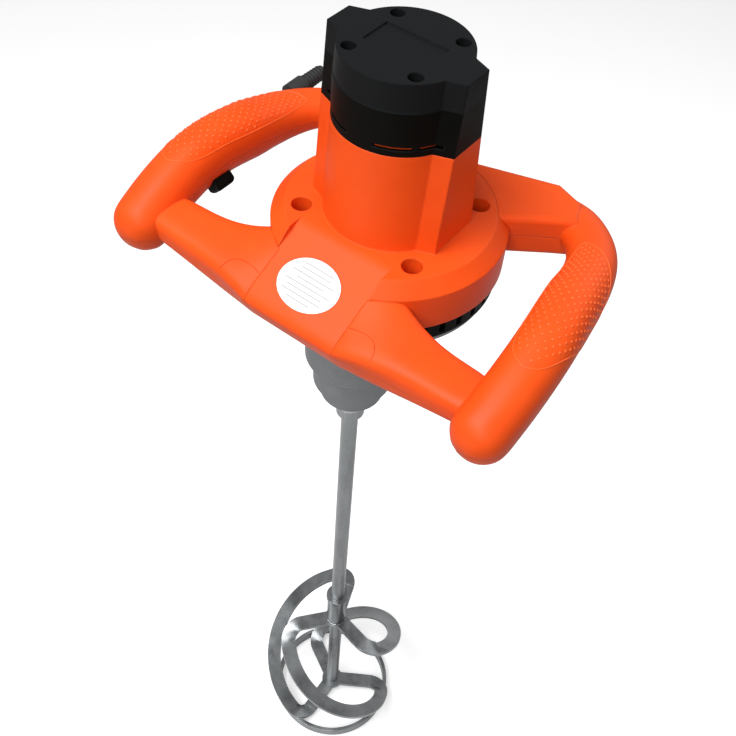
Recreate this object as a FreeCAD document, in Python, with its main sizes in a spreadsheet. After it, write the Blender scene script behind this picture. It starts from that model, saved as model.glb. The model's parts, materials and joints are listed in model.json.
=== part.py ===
"""Mixing drill with a ring handle frame, an offset gearbox and a three-ribbon mixing paddle.

Units are millimetres. +Z is up, +Y is the side behind the motor and +X is the tool's right.
The origin is on the spindle axis, at the lower face of the gearbox nose.
"""
import math
import os
import re

import FreeCAD
import Part

Vector = FreeCAD.Vector

SIZES = {
    # gear train
    "module_one": 1.25, "pinion_teeth": 9, "wheel_teeth": 41,
    "module_two": 1.5, "lay_teeth": 10, "output_teeth": 42,
    "addendum_ratio": 0.8, "dedendum_ratio": 1.05, "pressure_angle": 25, "backlash": 0.16,
    "motor_offset": 33.4,
    "output_gear_low": 53, "output_gear_width": 14,
    "wheel_gap": 9, "wheel_width": 10, "pinion_overhang": 2,
    "clip_groove_rise": 0.2, "clip_groove_height": 1.5, "clip_groove_depth": 1,
    "clip_rise": 0.3, "clip_height": 1.3, "clip_reach": 2.5, "clip_depth": 0.9, "clip_mouth": 5,
    # fits
    "running_fit": 0.03, "seat_fit": 0.02, "moving_gap": 0.5, "joint_gap": 0.1, "cut_over": 1,
    "shield_depth": 0.8, "shield_share": 0.28, "screw_end_gap": 1, "socket_floor": 2, "socket_inset": 0.2,
    # gear case
    "nose_radius": 26, "nose_height": 8.5, "neck_radius": 32, "neck_low": 15.5, "case_low": 46,
    "case_wall": 4, "case_top": 112, "flange_radius": 66, "flange_height": 8,
    "case_screw_circle": 60, "case_screw_radius": 2.5, "case_screw_head": 4.6,
    "gear_room": 2, "lay_foot_rise": 12, "lay_side_rise": 6, "motor_side_rise": 10, "motor_side_room": 8,
    "lay_seat_end": 3, "lay_room_start": 3.5, "lay_room": 1,
    # spindle and its bearings
    "spindle_radius": 12.5, "spindle_low": -20, "spindle_collar": 15, "gear_seat": 11,
    "spindle_top_radius": 7.5, "seat_overrun": 4,
    "seal_low": 1, "seal_height": 7, "seal_radius": 19,
    "low_bearing_z": 9, "low_bearing_width": 12, "low_bearing_radius": 23.5,
    "top_bearing_width": 9, "top_bearing_radius": 16, "bearing_plate_gap": 4,
    "thread_radius": 6.8, "thread_depth": 30, "key_width": 6, "key_length": 12, "key_setback": 1,
    # layshaft
    "lay_radius": 5, "lay_seat": 6.2, "lay_bearing_radius": 13, "lay_bearing_width": 8,
    "lay_shoulder": 1, "lay_collar_step": 2,
    # bearing plate
    "plate_radius": 79, "plate_thickness": 7, "boss_fit": 0.4, "motor_boss_extra": 6, "shaft_passage": 2,
    "blind_end": 0.5,
    # motor
    "motor_bearing_radius": 17.5, "motor_bearing_width": 11, "motor_bearing_inset": 2,
    "motor_journal": 7.5, "motor_shaft": 8,
    "fan_radius": 46, "fan_height": 16, "fan_hub": 14, "fan_blades": 9, "fan_plate": 2.5,
    "fan_gap": 5, "fan_blade": 2, "fan_blade_root": 1, "fan_lean": 25,
    "core_radius": 25, "air_gap": 0.6, "stator_low": 176, "stator_height": 46, "stator_fit": 0.2,
    "core_setback": 2, "core_slots": 12, "core_slot_inset": 0.5, "core_slot_radius": 1.6,
    "coil_slot_share": 0.25, "coil_gap": 0.3, "coil_height": 9, "coil_split": 16,
    "winding_radius": 21, "winding_height": 10, "winding_edge": 2, "winding_taper": 3,
    "commutator_low": 249, "commutator_height": 16, "commutator_radius": 14, "commutator_bars": 24,
    "commutator_gap": 0.6, "commutator_gap_depth": 4, "commutator_cut": 0.8,
    "end_journal": 5, "end_bearing_radius": 13, "end_bearing_width": 8,
    "end_bearing_low": 276,
    "brush_width": 6, "brush_height": 9, "brush_length": 17, "brush_gap": 0.4, "holder_wall": 1.5,
    "holder_setback": 5, "holder_proud": 0.4,
    # casing
    "tube_base_radius": 48.5, "tube_top_radius": 45, "tube_low": 173, "tube_top": 248.6, "tube_wall": 3.5,
    "cap_top": 299, "cap_top_radius": 43.9, "cap_wall": 4.5, "cap_band": 19, "cap_band_step": 0.8,
    "ear_reach": 53, "ear_top_half": 11, "ear_base_half": 22, "ear_root_extra": 5.5, "ear_inset": 4.9,
    "cap_screw_inset": 8.5, "cap_screw_radius": 2.5, "cap_well_radius": 5, "cap_well_depth": 20,
    "cap_boss_radius": 7.2, "cap_screw_grip": 12, "post_end": 2, "post_room": 3, "cap_boss_wall": 3,
    "cap_head_slack": 0.6, "cap_head_drop": 1, "drive_seat": 2.5, "drive_length": 5, "drive_width": 1.2,
    "drive_depth": 2, "pocket_inset": 2, "pocket_length": 14, "bearing_slack": 1,
    "emblem_length": 48, "emblem_width": 25, "emblem_depth": 1.2,
    "slit_height": 2.6, "slit_rise": 4.5, "slit_length": 26, "slit_depth": 12, "slit_inset": 8,
    "disc_radius": 85.2, "disc_top_radius": 75.3, "disc_chamfer": 10, "disc_low": 134.6, "disc_wall": 4.2,
    "fan_chamber": 52, "chamber_roof": 161, "groove_inner": 73, "groove_roof": 150,
    "well_x": 47.8, "well_y": 41, "well_radius": 7.5, "well_floor": 146, "well_wall": 3.5,
    "frame_screw_radius": 3, "frame_screw_head": 5.5, "screw_head_height": 5, "screw_slack": 0.3,
    "vent_radius": 82, "vent_wall": 6, "vent_slots": 36, "vent_slot_width": 5, "vent_rim": 3,
    "vent_shut": 32,
    "ramp_half": 38, "ramp_groove": 1.2, "ramp_back": -20, "ramp_drop": 25, "ramp_front": -71,
    "ramp_middle": 0.62, "ramp_flat": 0.85, "block_low": 122, "label_share": 0.66,
    "label_x": -3, "ramp_round": 19,
    "label_half_x": 24, "label_half_y": 19, "label_thickness": 0.6,
    # handles
    "grip_half_width": 20, "grip_half_height": 22, "rear_arm_half_width": 17, "rear_arm_half_height": 13.5,
    "rear_arm_low": 139, "rear_arm_edge": 5, "shell_wall": 3, "arm_root_half_depth": 34.5,
    "arm_root_half_height": 15.5, "grip_level": 158,
    "post_radius": 5.5, "handle_screw_radius": 2, "handle_screw_head": 4, "handle_screw_depth": 10,
    "handle_screw_head_height": 3,
    # trigger, dial and cable gland
    "trigger_y": -2, "trigger_width": 12, "trigger_length": 18, "trigger_reach": 9, "trigger_travel": 5,
    "trigger_stem": 9, "switch_width": 13, "switch_length": 44, "switch_height": 12,
    "flange_thickness": 3, "flange_fit": 0.3, "trigger_edge": 3.75, "control_tilt": 45, "window_reach": 12,
    "window_root": 4,
    "dial_radius": 11, "dial_width": 8, "dial_reach": 4, "dial_pin_radius": 2, "dial_y": 2,
    "dial_notches": 24, "dial_notch": 0.7, "dial_pin_extra": 8, "module_gap": 1,
    "cheek_width": 8, "cheek_thickness": 3, "cheek_gap": 1, "cheek_reach": 3,
    "module_width": 14, "module_length": 40, "module_height": 12,
    "gland_x": -148, "gland_y": 106, "gland_rise": 6, "gland_root": 9, "gland_collar_radius": 8,
    "gland_collar_length": 7, "gland_radius": 6.2, "gland_tip_radius": 5.2, "gland_length": 30,
    "gland_over": 6, "gland_hole_length": 38, "cord_radius": 3.6,
    # paddle
    "rod_radius": 7.25, "shank_radius": 12, "shank_top": -21, "shank_height": 10, "shank_taper": 5,
    "shank_lap": 1, "thread_end_gap": 3,
    "hub_top": -369, "hub_radius": 11, "hub_rim": 12.5, "hub_rim_height": 5,
    "arm_level": -425, "strip_thickness": 4, "paddle_radius": 70, "ribbon_width": 16,
    "ribbon_top_radius": 64, "ribbon_bulge": 16, "ribbon_corner": 14, "ribbon_ease": 0.12,
    "ribbon_sweep": 162.5, "ribbon_start": -9.5, "spoke_level": -603,
    "hoop_top": -599, "hoop_height": 14, "hoop_thickness": 4, "ring_radius": 13,
}

# Stations of the right handle, from the disc round the rear corner to the domed front end: x, y, and z over
# the grip level.
HANDLE_STATIONS = [
    (40, 99, 1), (73, 112, 1), (101, 118, 0), (123.5, 105, 0), (138.5, 76, 1),
    (144.5, 38, 4), (149, 3, 3.5), (150.5, -32, -5.5), (148.5, -67.5, -20),
]
HANDLE_STEPS = 24
# Stations in front of this y belong to the grip.
GRIP_END_Y = 80
DOME_SHARES = [0.3, 0.55, 0.76, 0.9, 0.97]
# The rear arm's section turns into the grip's over this stretch of the path.
REAR_ARM_SHARE = 0.33
REAR_ARM_BLEND = 0.25
GRIP_POWER = 2.3
SECTION_POINTS = 24
# The handle's own tube starts at this share of its path, inside the flat rear arm.
GRIP_START = 0.14
# The flat rear arm in plan, from inside the disc to inside the grip's corner.
REAR_ARM_OUTLINE = [(4, 90), (50, 61.2), (100, 98), (112, 106), (104, 126), (80, 135), (4, 110.4)]
# Stations of the right front arm beyond its root on the centre block, up to the inside of the grip: x, y, z
# over the grip level, half depth, half height, and the share of the ramp's tilt that is left.
ARM_STATIONS = [
    (56, -48, -17.5, 28, 16.5, 0.65), (78, -51, -19.3, 22.5, 15.5, 0.3),
    (110, -53.5, -17.3, 19, 12.8, 0.1), (142, -54, -17, 15.5, 12.5, 0),
]
ROOT_POWER = 6
ARM_POWER = 3.2
# The handle halves part along this line of y and z over the grip level.
PARTING = [(-140, -22), (-67.5, -22), (-32, -7.5), (3, 1.5), (38, 2), (76, -1), (105, -2), (160, -2)]
# Screw posts of the right handle.
POSTS = [(80, -54), (150, -40), (137.5, 76), (93, 117)]
CASE_SCREW_ANGLES = [30, 110, 230, 320]
COIL_ANGLES = [45, 135, 225, 315]
SLIT_ANGLES = [-60, -22, 75, 105, 202, 240]
FRONT_ANGLE = 270
# The way out of the cable gland.
GLAND_WAY = (0.05, 0.99, 0.08)
FLANK_STEPS = 4
# Steps and roundness of a ribbon's corners, and the steps of its long turn.
CORNER_STEPS = 7
CORNER_PULL = 0.55
RIBBON_STEPS = 14
RIBBONS = 3
TANGENT_STEP = 0.001
FLAT = 1e-6

# Formulas that several sub-parts share.
STAGE_ONE = "(module_one * (pinion_teeth + wheel_teeth) / 2)"
STAGE_TWO = "(module_two * (lay_teeth + output_teeth) / 2)"
LAY_Y = f"(({STAGE_TWO}^2 - {STAGE_ONE}^2 + motor_offset^2) / (2 * motor_offset))"
LAY_X = f"(-sqrt({STAGE_TWO}^2 - {LAY_Y}^2))"
WHEEL_LOW = "(output_gear_low + output_gear_width + wheel_gap)"
BOSS_LOW = f"({WHEEL_LOW} + wheel_width + bearing_plate_gap)"
PLATE_TOP = "(case_top + plate_thickness)"
GEAR_TOP = "(output_gear_low + output_gear_width)"
MOTOR_BEARING_TOP = f"({PLATE_TOP} - motor_bearing_inset)"
MOTOR_BEARING_LOW = f"({MOTOR_BEARING_TOP} - motor_bearing_width)"
LAY_BEARING_LOW = "(output_gear_low - pinion_overhang - lay_shoulder - lay_bearing_width)"
SPINDLE_AXIS = ("0", "0")
LAY_AXIS = (LAY_X, LAY_Y)
MOTOR_AXIS = ("0", "motor_offset")
MOTOR_BORE = "(tube_top_radius - tube_wall)"
STATOR_RADIUS = f"({MOTOR_BORE} - stator_fit)"
STATOR_TOP = "(stator_low + stator_height)"
COIL_CIRCLE = f"(({STATOR_RADIUS} + core_radius + air_gap) / 2)"
COIL_SLOT = f"(coil_slot_share * ({STATOR_RADIUS} - core_radius - air_gap))"
HOLDER_START = "(commutator_radius + brush_gap + holder_setback)"
HOLDER_LENGTH = f"(tube_top_radius + holder_proud - {HOLDER_START})"
NARROW_RADIUS = "min(tube_top_radius; cap_top_radius)"
CAP_SPREAD = f"(({NARROW_RADIUS} - cap_screw_inset) / sqrt(2))"
CAP_GRIP = f"min(cap_screw_grip; tube_top - {STATOR_TOP} - coil_height - post_end - moving_gap)"

doc = FreeCAD.newDocument("mixing_drill")
sheet = doc.addObject("Spreadsheet::Sheet", "Sizes")
for row, (alias, number) in enumerate(SIZES.items(), start=1):
    sheet.set(f"A{row}", alias)
    sheet.set(f"B{row}", str(number))
    sheet.setAlias(f"B{row}", alias)
doc.recompute()

WORD = re.compile(r"[a-z][a-z_0-9]*")
nodes = []


def size(alias):
    """One driving dimension, read back from the sheet."""
    return float(sheet.get(alias))


def bound(formula):
    """A formula of size names, written as an expression on the sheet."""
    return WORD.sub(lambda word: f"Sizes.{word.group()}" if word.group() in SIZES else word.group(), formula)


def bind(item, **formulas):
    """Bind properties of a document object to formulas of size names."""
    for prop, formula in formulas.items():
        item.setExpression(prop, bound(formula))
    return item


def move(item, axis, level):
    """Bind an object's place to an axis (x, y) and a level z."""
    for letter, formula in zip("xyz", (*axis, level)):
        item.setExpression(f"Placement.Base.{letter}", bound(formula))
    return item


def cylinder(name, axis, low, radius, height):
    """A cylinder that stands on the level low."""
    item = bind(doc.addObject("Part::Cylinder", name), Radius=radius, Height=height)
    return move(item, axis, low)


def cone(name, axis, low, radius_low, radius_high, height):
    """A cone that stands on the level low."""
    item = bind(doc.addObject("Part::Cone", name), Radius1=radius_low, Radius2=radius_high, Height=height)
    return move(item, axis, low)


def box(name, centre, low, length, width, height):
    """A box centred on an axis in plan, standing on the level low."""
    item = bind(doc.addObject("Part::Box", name), Length=length, Width=width, Height=height)
    corner = (f"{centre[0]} - ({length}) / 2", f"{centre[1]} - ({width}) / 2")
    return move(item, corner, low)


def shaped(name, shape):
    """A document object that holds a shape made here."""
    item = doc.addObject("Part::Feature", name)
    item.Shape = shape
    return item


def fuse(name, items):
    """The union of several objects."""
    item = doc.addObject("Part::MultiFuse", name)
    item.Shapes = items
    item.Refine = True
    return item


def cut(name, base, tools):
    """An object with others taken away."""
    item = doc.addObject("Part::Cut", name)
    item.Base = base
    item.Tool = tools[0] if len(tools) == 1 else fuse(f"{name}_tools", tools)
    return item


def node(label, item):
    """Register an object as a sub-part, whose label names its file."""
    item.Label = label
    nodes.append(item)
    return item


def group(name, items):
    """Several separate solids kept as one sub-part."""
    item = doc.addObject("Part::Compound", name)
    item.Links = items
    return item


def ring(name, axis, low, outer, inner, height):
    """A plain ring."""
    hole = cylinder(f"{name}_bore", axis, low, inner, height)
    return cut(name, cylinder(f"{name}_blank", axis, low, outer, height), [hole])


def gear_face(teeth, module, turn):
    """A spur gear's face: involute flanks, round tips and roots, with one tooth centred on the angle turn."""
    pressure = math.radians(size("pressure_angle"))
    pitch = teeth * module / 2
    base = pitch * math.cos(pressure)
    tip = pitch + size("addendum_ratio") * module
    root = pitch - size("dedendum_ratio") * module
    half_tooth = (math.pi * module - size("backlash")) / (4 * pitch)
    involute_at_pitch = math.tan(pressure) - pressure
    start = max(base, root)

    def flank_point(radius, side, centre):
        roll = math.acos(min(1, base / radius))
        angle = centre + side * (half_tooth + involute_at_pitch - (math.tan(roll) - roll))
        return Vector(radius * math.cos(angle), radius * math.sin(angle), 0)

    edges = []
    pitch_angle = 2 * math.pi / teeth
    radii = [start + (tip - start) * step / FLANK_STEPS for step in range(FLANK_STEPS + 1)]
    for tooth in range(teeth):
        centre = turn + tooth * pitch_angle
        rising = [flank_point(radius, -1, centre) for radius in radii]
        falling = [flank_point(radius, 1, centre) for radius in reversed(radii)]
        following = flank_point(start, -1, centre + pitch_angle)
        valley = centre + pitch_angle / 2
        bottom = Vector(root * math.cos(valley), root * math.sin(valley), 0)
        top = Vector(tip * math.cos(centre), tip * math.sin(centre), 0)
        for points in (rising, falling):
            curve = Part.BSplineCurve()
            curve.interpolate(points)
            edges.append(curve.toShape())
        edges.insert(-1, Part.Arc(rising[-1], top, falling[0]).toShape())
        edges.append(Part.Arc(falling[-1], bottom, following).toShape())
    return Part.Face(Part.Wire(edges))


def gear(name, teeth, module, turn, axis, low, width):
    """A spur gear blank with its teeth, bound to its axis and level."""
    face = gear_face(int(size(teeth)), size(module), turn)
    return move(shaped(name, face.extrude(Vector(0, 0, size(width)))), axis, low)


def polar(radius, angle):
    """Plan coordinates, as formulas, of a point at a radius formula and an angle in degrees."""
    return (f"{radius} * cos({angle} deg)", f"{radius} * sin({angle} deg)")


def add(first, second):
    """The sum of two plan points given as formulas."""
    return tuple(f"({one}) + ({two})" for one, two in zip(first, second))


def gear_train():
    """Armature pinion, layshaft with its wheel, output gear and spindle, all in mesh at rest."""
    stage_one = size("module_one") * (size("pinion_teeth") + size("wheel_teeth")) / 2
    stage_two = size("module_two") * (size("lay_teeth") + size("output_teeth")) / 2
    offset = size("motor_offset")
    lay_y = (stage_two ** 2 - stage_one ** 2 + offset ** 2) / (2 * offset)
    lay_x = -math.sqrt(stage_two ** 2 - lay_y ** 2)
    motor_to_lay = math.atan2(lay_y - offset, lay_x)
    lay_to_spindle = math.atan2(-lay_y, -lay_x)
    wheel_turn = motor_to_lay + math.pi + math.pi / size("wheel_teeth")
    output_turn = lay_to_spindle + math.pi + math.pi / size("output_teeth")

    pinion_low = f"{WHEEL_LOW} - pinion_overhang"
    pinion_width = "wheel_width + 2 * pinion_overhang"
    pinion_face = gear_face(int(size("pinion_teeth")), size("module_one"), motor_to_lay)
    pinion_height = size("wheel_width") + 2 * size("pinion_overhang")
    pinion = shaped("pinion_teeth_solid", pinion_face.extrude(Vector(0, 0, pinion_height)))
    move(pinion, MOTOR_AXIS, pinion_low)
    pinion_top = f"({pinion_low} + {pinion_width})"
    shaft = fuse("armature_shaft_solid", [
        pinion,
        cylinder("pinion_neck", MOTOR_AXIS, pinion_top, "module_one * pinion_teeth / 2",
                 f"{MOTOR_BEARING_LOW} - {pinion_top}"),
        cylinder("motor_journal_solid", MOTOR_AXIS, MOTOR_BEARING_LOW, "motor_journal",
                 "motor_bearing_width"),
        cylinder("motor_shaft_solid", MOTOR_AXIS, MOTOR_BEARING_TOP, "motor_shaft",
                 f"end_bearing_low - {MOTOR_BEARING_TOP}"),
        cylinder("end_journal_solid", MOTOR_AXIS, "end_bearing_low", "end_journal", "end_bearing_width"),
    ])
    node("armature_shaft", shaft)

    wheel = cut("first_wheel_solid",
                gear("wheel_blank", "wheel_teeth", "module_one", wheel_turn, LAY_AXIS, WHEEL_LOW,
                     "wheel_width"),
                [cylinder("wheel_bore", LAY_AXIS, WHEEL_LOW, "lay_seat + seat_fit", "wheel_width")])
    node("first_gear", wheel)

    lay_pinion_height = size("output_gear_width") + 2 * size("pinion_overhang")
    lay_face = gear_face(int(size("lay_teeth")), size("module_two"), lay_to_spindle)
    lay_pinion = shaped("lay_teeth_solid", lay_face.extrude(Vector(0, 0, lay_pinion_height)))
    move(lay_pinion, LAY_AXIS, "output_gear_low - pinion_overhang")
    collar_low = "(output_gear_low + output_gear_width + pinion_overhang)"
    wheel_top = f"({WHEEL_LOW} + wheel_width)"
    layshaft = fuse("layshaft_solid", [
        lay_pinion,
        cylinder("lay_low_journal", LAY_AXIS, LAY_BEARING_LOW, "lay_radius",
                 "lay_bearing_width + lay_shoulder"),
        cylinder("lay_collar", LAY_AXIS, collar_low, "lay_seat + lay_collar_step",
                 f"{WHEEL_LOW} - {collar_low}"),
        cylinder("lay_wheel_seat", LAY_AXIS, WHEEL_LOW, "lay_seat", f"{wheel_top} - {WHEEL_LOW}"),
        cylinder("lay_top_journal", LAY_AXIS, wheel_top, "lay_radius",
                 f"{BOSS_LOW} + lay_bearing_width - {wheel_top}"),
    ])
    node("layshaft", layshaft)

    key_centre = add(SPINDLE_AXIS, ("gear_seat", "0"))
    key_low = "output_gear_low + key_setback"
    output = cut("output_gear_solid",
                 gear("output_blank", "output_teeth", "module_two", output_turn, SPINDLE_AXIS,
                      "output_gear_low", "output_gear_width"),
                 [cylinder("output_bore", SPINDLE_AXIS, "output_gear_low", "gear_seat + seat_fit",
                           "output_gear_width"),
                  box("output_keyway", key_centre, "output_gear_low", "key_width + 2 * seat_fit",
                      "key_width + 2 * seat_fit", "output_gear_width")])
    node("output_gear", output)

    spindle_bar = fuse("spindle_bar", [
        cylinder("spindle_end", SPINDLE_AXIS, "spindle_low", "spindle_radius",
                 "low_bearing_z + low_bearing_width - spindle_low"),
        cylinder("spindle_shoulder", SPINDLE_AXIS, "low_bearing_z + low_bearing_width", "spindle_collar",
                 "output_gear_low - low_bearing_z - low_bearing_width"),
        cylinder("spindle_seat", SPINDLE_AXIS, "output_gear_low", "gear_seat",
                 "output_gear_width + seat_overrun"),
        cylinder("spindle_journal", SPINDLE_AXIS, f"{GEAR_TOP} + seat_overrun", "spindle_top_radius",
                 f"{BOSS_LOW} + top_bearing_width - {GEAR_TOP} - seat_overrun"),
    ])
    spindle = cut("spindle_solid", spindle_bar, [
        cylinder("spindle_thread", SPINDLE_AXIS, "spindle_low", "thread_radius", "thread_depth"),
        box("spindle_keyway", key_centre, key_low, "key_width", "key_width", "key_length"),
        ring("circlip_groove", SPINDLE_AXIS, f"{GEAR_TOP} + clip_groove_rise",
             "gear_seat + clip_groove_depth", "gear_seat - clip_groove_depth", "clip_groove_height"),
    ])
    node("spindle", spindle)
    node("spindle_key", box("key_solid", key_centre, key_low, "key_width", "key_width", "key_length"))
    clip = cut("circlip_solid",
               ring("circlip_ring", SPINDLE_AXIS, f"{GEAR_TOP} + clip_rise", "gear_seat + clip_reach",
                    "gear_seat - clip_depth", "clip_height"),
               [box("circlip_mouth", ("0", "gear_seat"), GEAR_TOP, "clip_mouth",
                    "gear_seat + clip_groove_depth", "seat_overrun")])
    node("circlip", clip)


def bearing(name, axis, low, outer, bore, width):
    """A ball bearing drawn as one ring with a shield groove on each side."""
    thickness = f"(({outer}) - ({bore}))"
    blank = ring(f"{name}_ring", axis, low, f"({outer}) - seat_fit", f"({bore}) + running_fit", width)
    grooves = []
    for side, level in (("low", low), ("high", f"{low} + {width} - shield_depth")):
        grooves.append(ring(f"{name}_{side}_shield", axis, level, f"({outer}) - {thickness} * shield_share",
                            f"({bore}) + {thickness} * shield_share", "shield_depth"))
    return node(name, cut(f"{name}_solid", blank, grooves))


def bearings():
    """Every bearing and the oil seal of the spindle."""
    bearing("spindle_bearing_low", SPINDLE_AXIS, "low_bearing_z", "low_bearing_radius", "spindle_radius",
            "low_bearing_width")
    bearing("spindle_bearing_top", SPINDLE_AXIS, BOSS_LOW, "top_bearing_radius", "spindle_top_radius",
            "top_bearing_width")
    bearing("layshaft_bearing_low", LAY_AXIS, LAY_BEARING_LOW, "lay_bearing_radius", "lay_radius",
            "lay_bearing_width")
    bearing("layshaft_bearing_top", LAY_AXIS, BOSS_LOW, "lay_bearing_radius", "lay_radius",
            "lay_bearing_width")
    bearing("motor_bearing_low", MOTOR_AXIS, MOTOR_BEARING_LOW, "motor_bearing_radius", "motor_journal",
            "motor_bearing_width")
    bearing("motor_bearing_top", MOTOR_AXIS, "end_bearing_low", "end_bearing_radius", "end_journal",
            "end_bearing_width")
    seal = ring("oil_seal_solid", SPINDLE_AXIS, "seal_low", "seal_radius - seat_fit",
                "spindle_radius + running_fit", "seal_height")
    node("oil_seal", seal)


def gear_case():
    """The cast gear case with its clamping nose, and the bearing plate that closes it."""
    body_height = "(case_top - case_low)"
    wheel_tip = "(module_one * (wheel_teeth / 2 + addendum_ratio))"
    output_tip = "(module_two * (output_teeth / 2 + addendum_ratio))"
    flange_centre = ("0", "motor_offset / 2")
    shell = fuse("case_outside", [
        cylinder("nose", SPINDLE_AXIS, "0", "nose_radius", "nose_height"),
        cone("nose_shoulder", SPINDLE_AXIS, "nose_height", "nose_radius", "neck_radius",
             "neck_low - nose_height"),
        cylinder("neck", SPINDLE_AXIS, "neck_low", "neck_radius", "case_low - neck_low"),
        cylinder("lay_foot", LAY_AXIS, f"{LAY_BEARING_LOW} - case_wall", "lay_bearing_radius + case_wall",
                 f"case_low + lay_foot_rise - {LAY_BEARING_LOW} + case_wall"),
        cylinder("case_spindle_side", SPINDLE_AXIS, "case_low", f"{output_tip} + gear_room + case_wall",
                 body_height),
        cylinder("case_lay_side", LAY_AXIS, "case_low + lay_side_rise",
                 f"{wheel_tip} + gear_room + case_wall", f"{body_height} - lay_side_rise"),
        cylinder("case_motor_side", MOTOR_AXIS, "case_low + motor_side_rise",
                 "motor_bearing_radius + motor_side_room + case_wall", f"{body_height} - motor_side_rise"),
        cylinder("case_flange", flange_centre, "case_top - flange_height", "flange_radius", "flange_height"),
    ])
    pinion_low = f"({WHEEL_LOW} - pinion_overhang)"
    hollows = [
        cylinder("seal_seat", SPINDLE_AXIS, "seal_low", "seal_radius", "low_bearing_z - seal_low"),
        cylinder("nose_hole", SPINDLE_AXIS, "-cut_over", "spindle_radius + moving_gap",
                 "seal_low + cut_over"),
        cylinder("low_bearing_seat", SPINDLE_AXIS, "low_bearing_z", "low_bearing_radius",
                 "case_low + case_wall - low_bearing_z"),
        cylinder("output_room", SPINDLE_AXIS, "case_low + case_wall", f"{output_tip} + gear_room",
                 f"{body_height} - case_wall"),
        cylinder("lay_bearing_seat", LAY_AXIS, LAY_BEARING_LOW, "lay_bearing_radius",
                 f"output_gear_low - lay_seat_end - {LAY_BEARING_LOW}"),
        cylinder("lay_pinion_room", LAY_AXIS, "output_gear_low - lay_room_start",
                 "lay_bearing_radius + lay_room", body_height),
        cylinder("wheel_room", LAY_AXIS, f"{WHEEL_LOW} - gear_room", f"{wheel_tip} + gear_room",
                 f"case_top - {WHEEL_LOW} + gear_room"),
        cylinder("pinion_room", MOTOR_AXIS, f"{pinion_low} - gear_room",
                 "motor_bearing_radius + motor_side_room", f"case_top - {pinion_low} + gear_room"),
    ]
    screw_holes = []
    screws = []
    for angle in CASE_SCREW_ANGLES:
        place = add(flange_centre, polar("case_screw_circle", angle))
        screw_holes.append(cylinder("case_screw_hole", place, "case_top - flange_height",
                                    "case_screw_radius + screw_slack", "flange_height"))
        shank = cylinder("case_screw_shank", place, "case_top - flange_height", "case_screw_radius",
                         "flange_height + plate_thickness - screw_end_gap")
        head = cylinder("case_screw_cap", place, "case_top - flange_height - screw_head_height",
                        "case_screw_head", "screw_head_height")
        socket = cylinder("case_screw_socket", place, "case_top - flange_height - screw_head_height",
                          "case_screw_radius", "screw_head_height / 2")
        screws.append(cut("case_screw", fuse("case_screw_blank", [shank, head]), [socket]))
    node("gear_case", cut("gear_case_solid", shell, hollows + screw_holes))
    node("gear_case_screws", group("case_screw_set", screws))

    boss_height = f"(case_top - {BOSS_LOW})"
    plate_blank = fuse("plate_blank", [
        cylinder("plate_disc", MOTOR_AXIS, "case_top", "plate_radius", "plate_thickness"),
        cylinder("plate_spindle_boss", SPINDLE_AXIS, BOSS_LOW, "top_bearing_radius + case_wall", boss_height),
        cylinder("plate_lay_boss", LAY_AXIS, BOSS_LOW, "lay_bearing_radius + case_wall", boss_height),
        cylinder("plate_motor_boss", MOTOR_AXIS, f"{PLATE_TOP} - motor_bearing_width - motor_boss_extra",
                 "motor_bearing_radius + case_wall - boss_fit",
                 "motor_bearing_width + motor_boss_extra - plate_thickness"),
    ])
    plate_cuts = [
        cylinder("top_bearing_seat", SPINDLE_AXIS, BOSS_LOW, "top_bearing_radius", "top_bearing_width"),
        cylinder("lay_top_seat", LAY_AXIS, BOSS_LOW, "lay_bearing_radius", "lay_bearing_width"),
        cylinder("motor_low_seat", MOTOR_AXIS, MOTOR_BEARING_LOW, "motor_bearing_radius",
                 "motor_bearing_width + motor_bearing_inset"),
        cylinder("pinion_passage", MOTOR_AXIS, BOSS_LOW, "motor_shaft + shaft_passage",
                 f"{PLATE_TOP} - {BOSS_LOW}"),
    ]
    for angle in CASE_SCREW_ANGLES:
        place = add(flange_centre, polar("case_screw_circle", angle))
        plate_cuts.append(cylinder("plate_case_hole", place, "case_top", "case_screw_radius + seat_fit",
                                   "plate_thickness - blind_end"))
    for place in well_places():
        plate_cuts.append(cylinder("plate_frame_hole", place, "case_top", "frame_screw_radius + seat_fit",
                                   "plate_thickness"))
    node("bearing_plate", cut("bearing_plate_solid", plate_blank, plate_cuts))


def well_places():
    """Plan places of the four long screws that hold the motor housing to the bearing plate."""
    places = []
    for sign_x in ("", "-"):
        for sign_y in ("+", "-"):
            places.append((f"({sign_x}well_x)", f"(motor_offset {sign_y} well_y)"))
    return places


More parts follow.
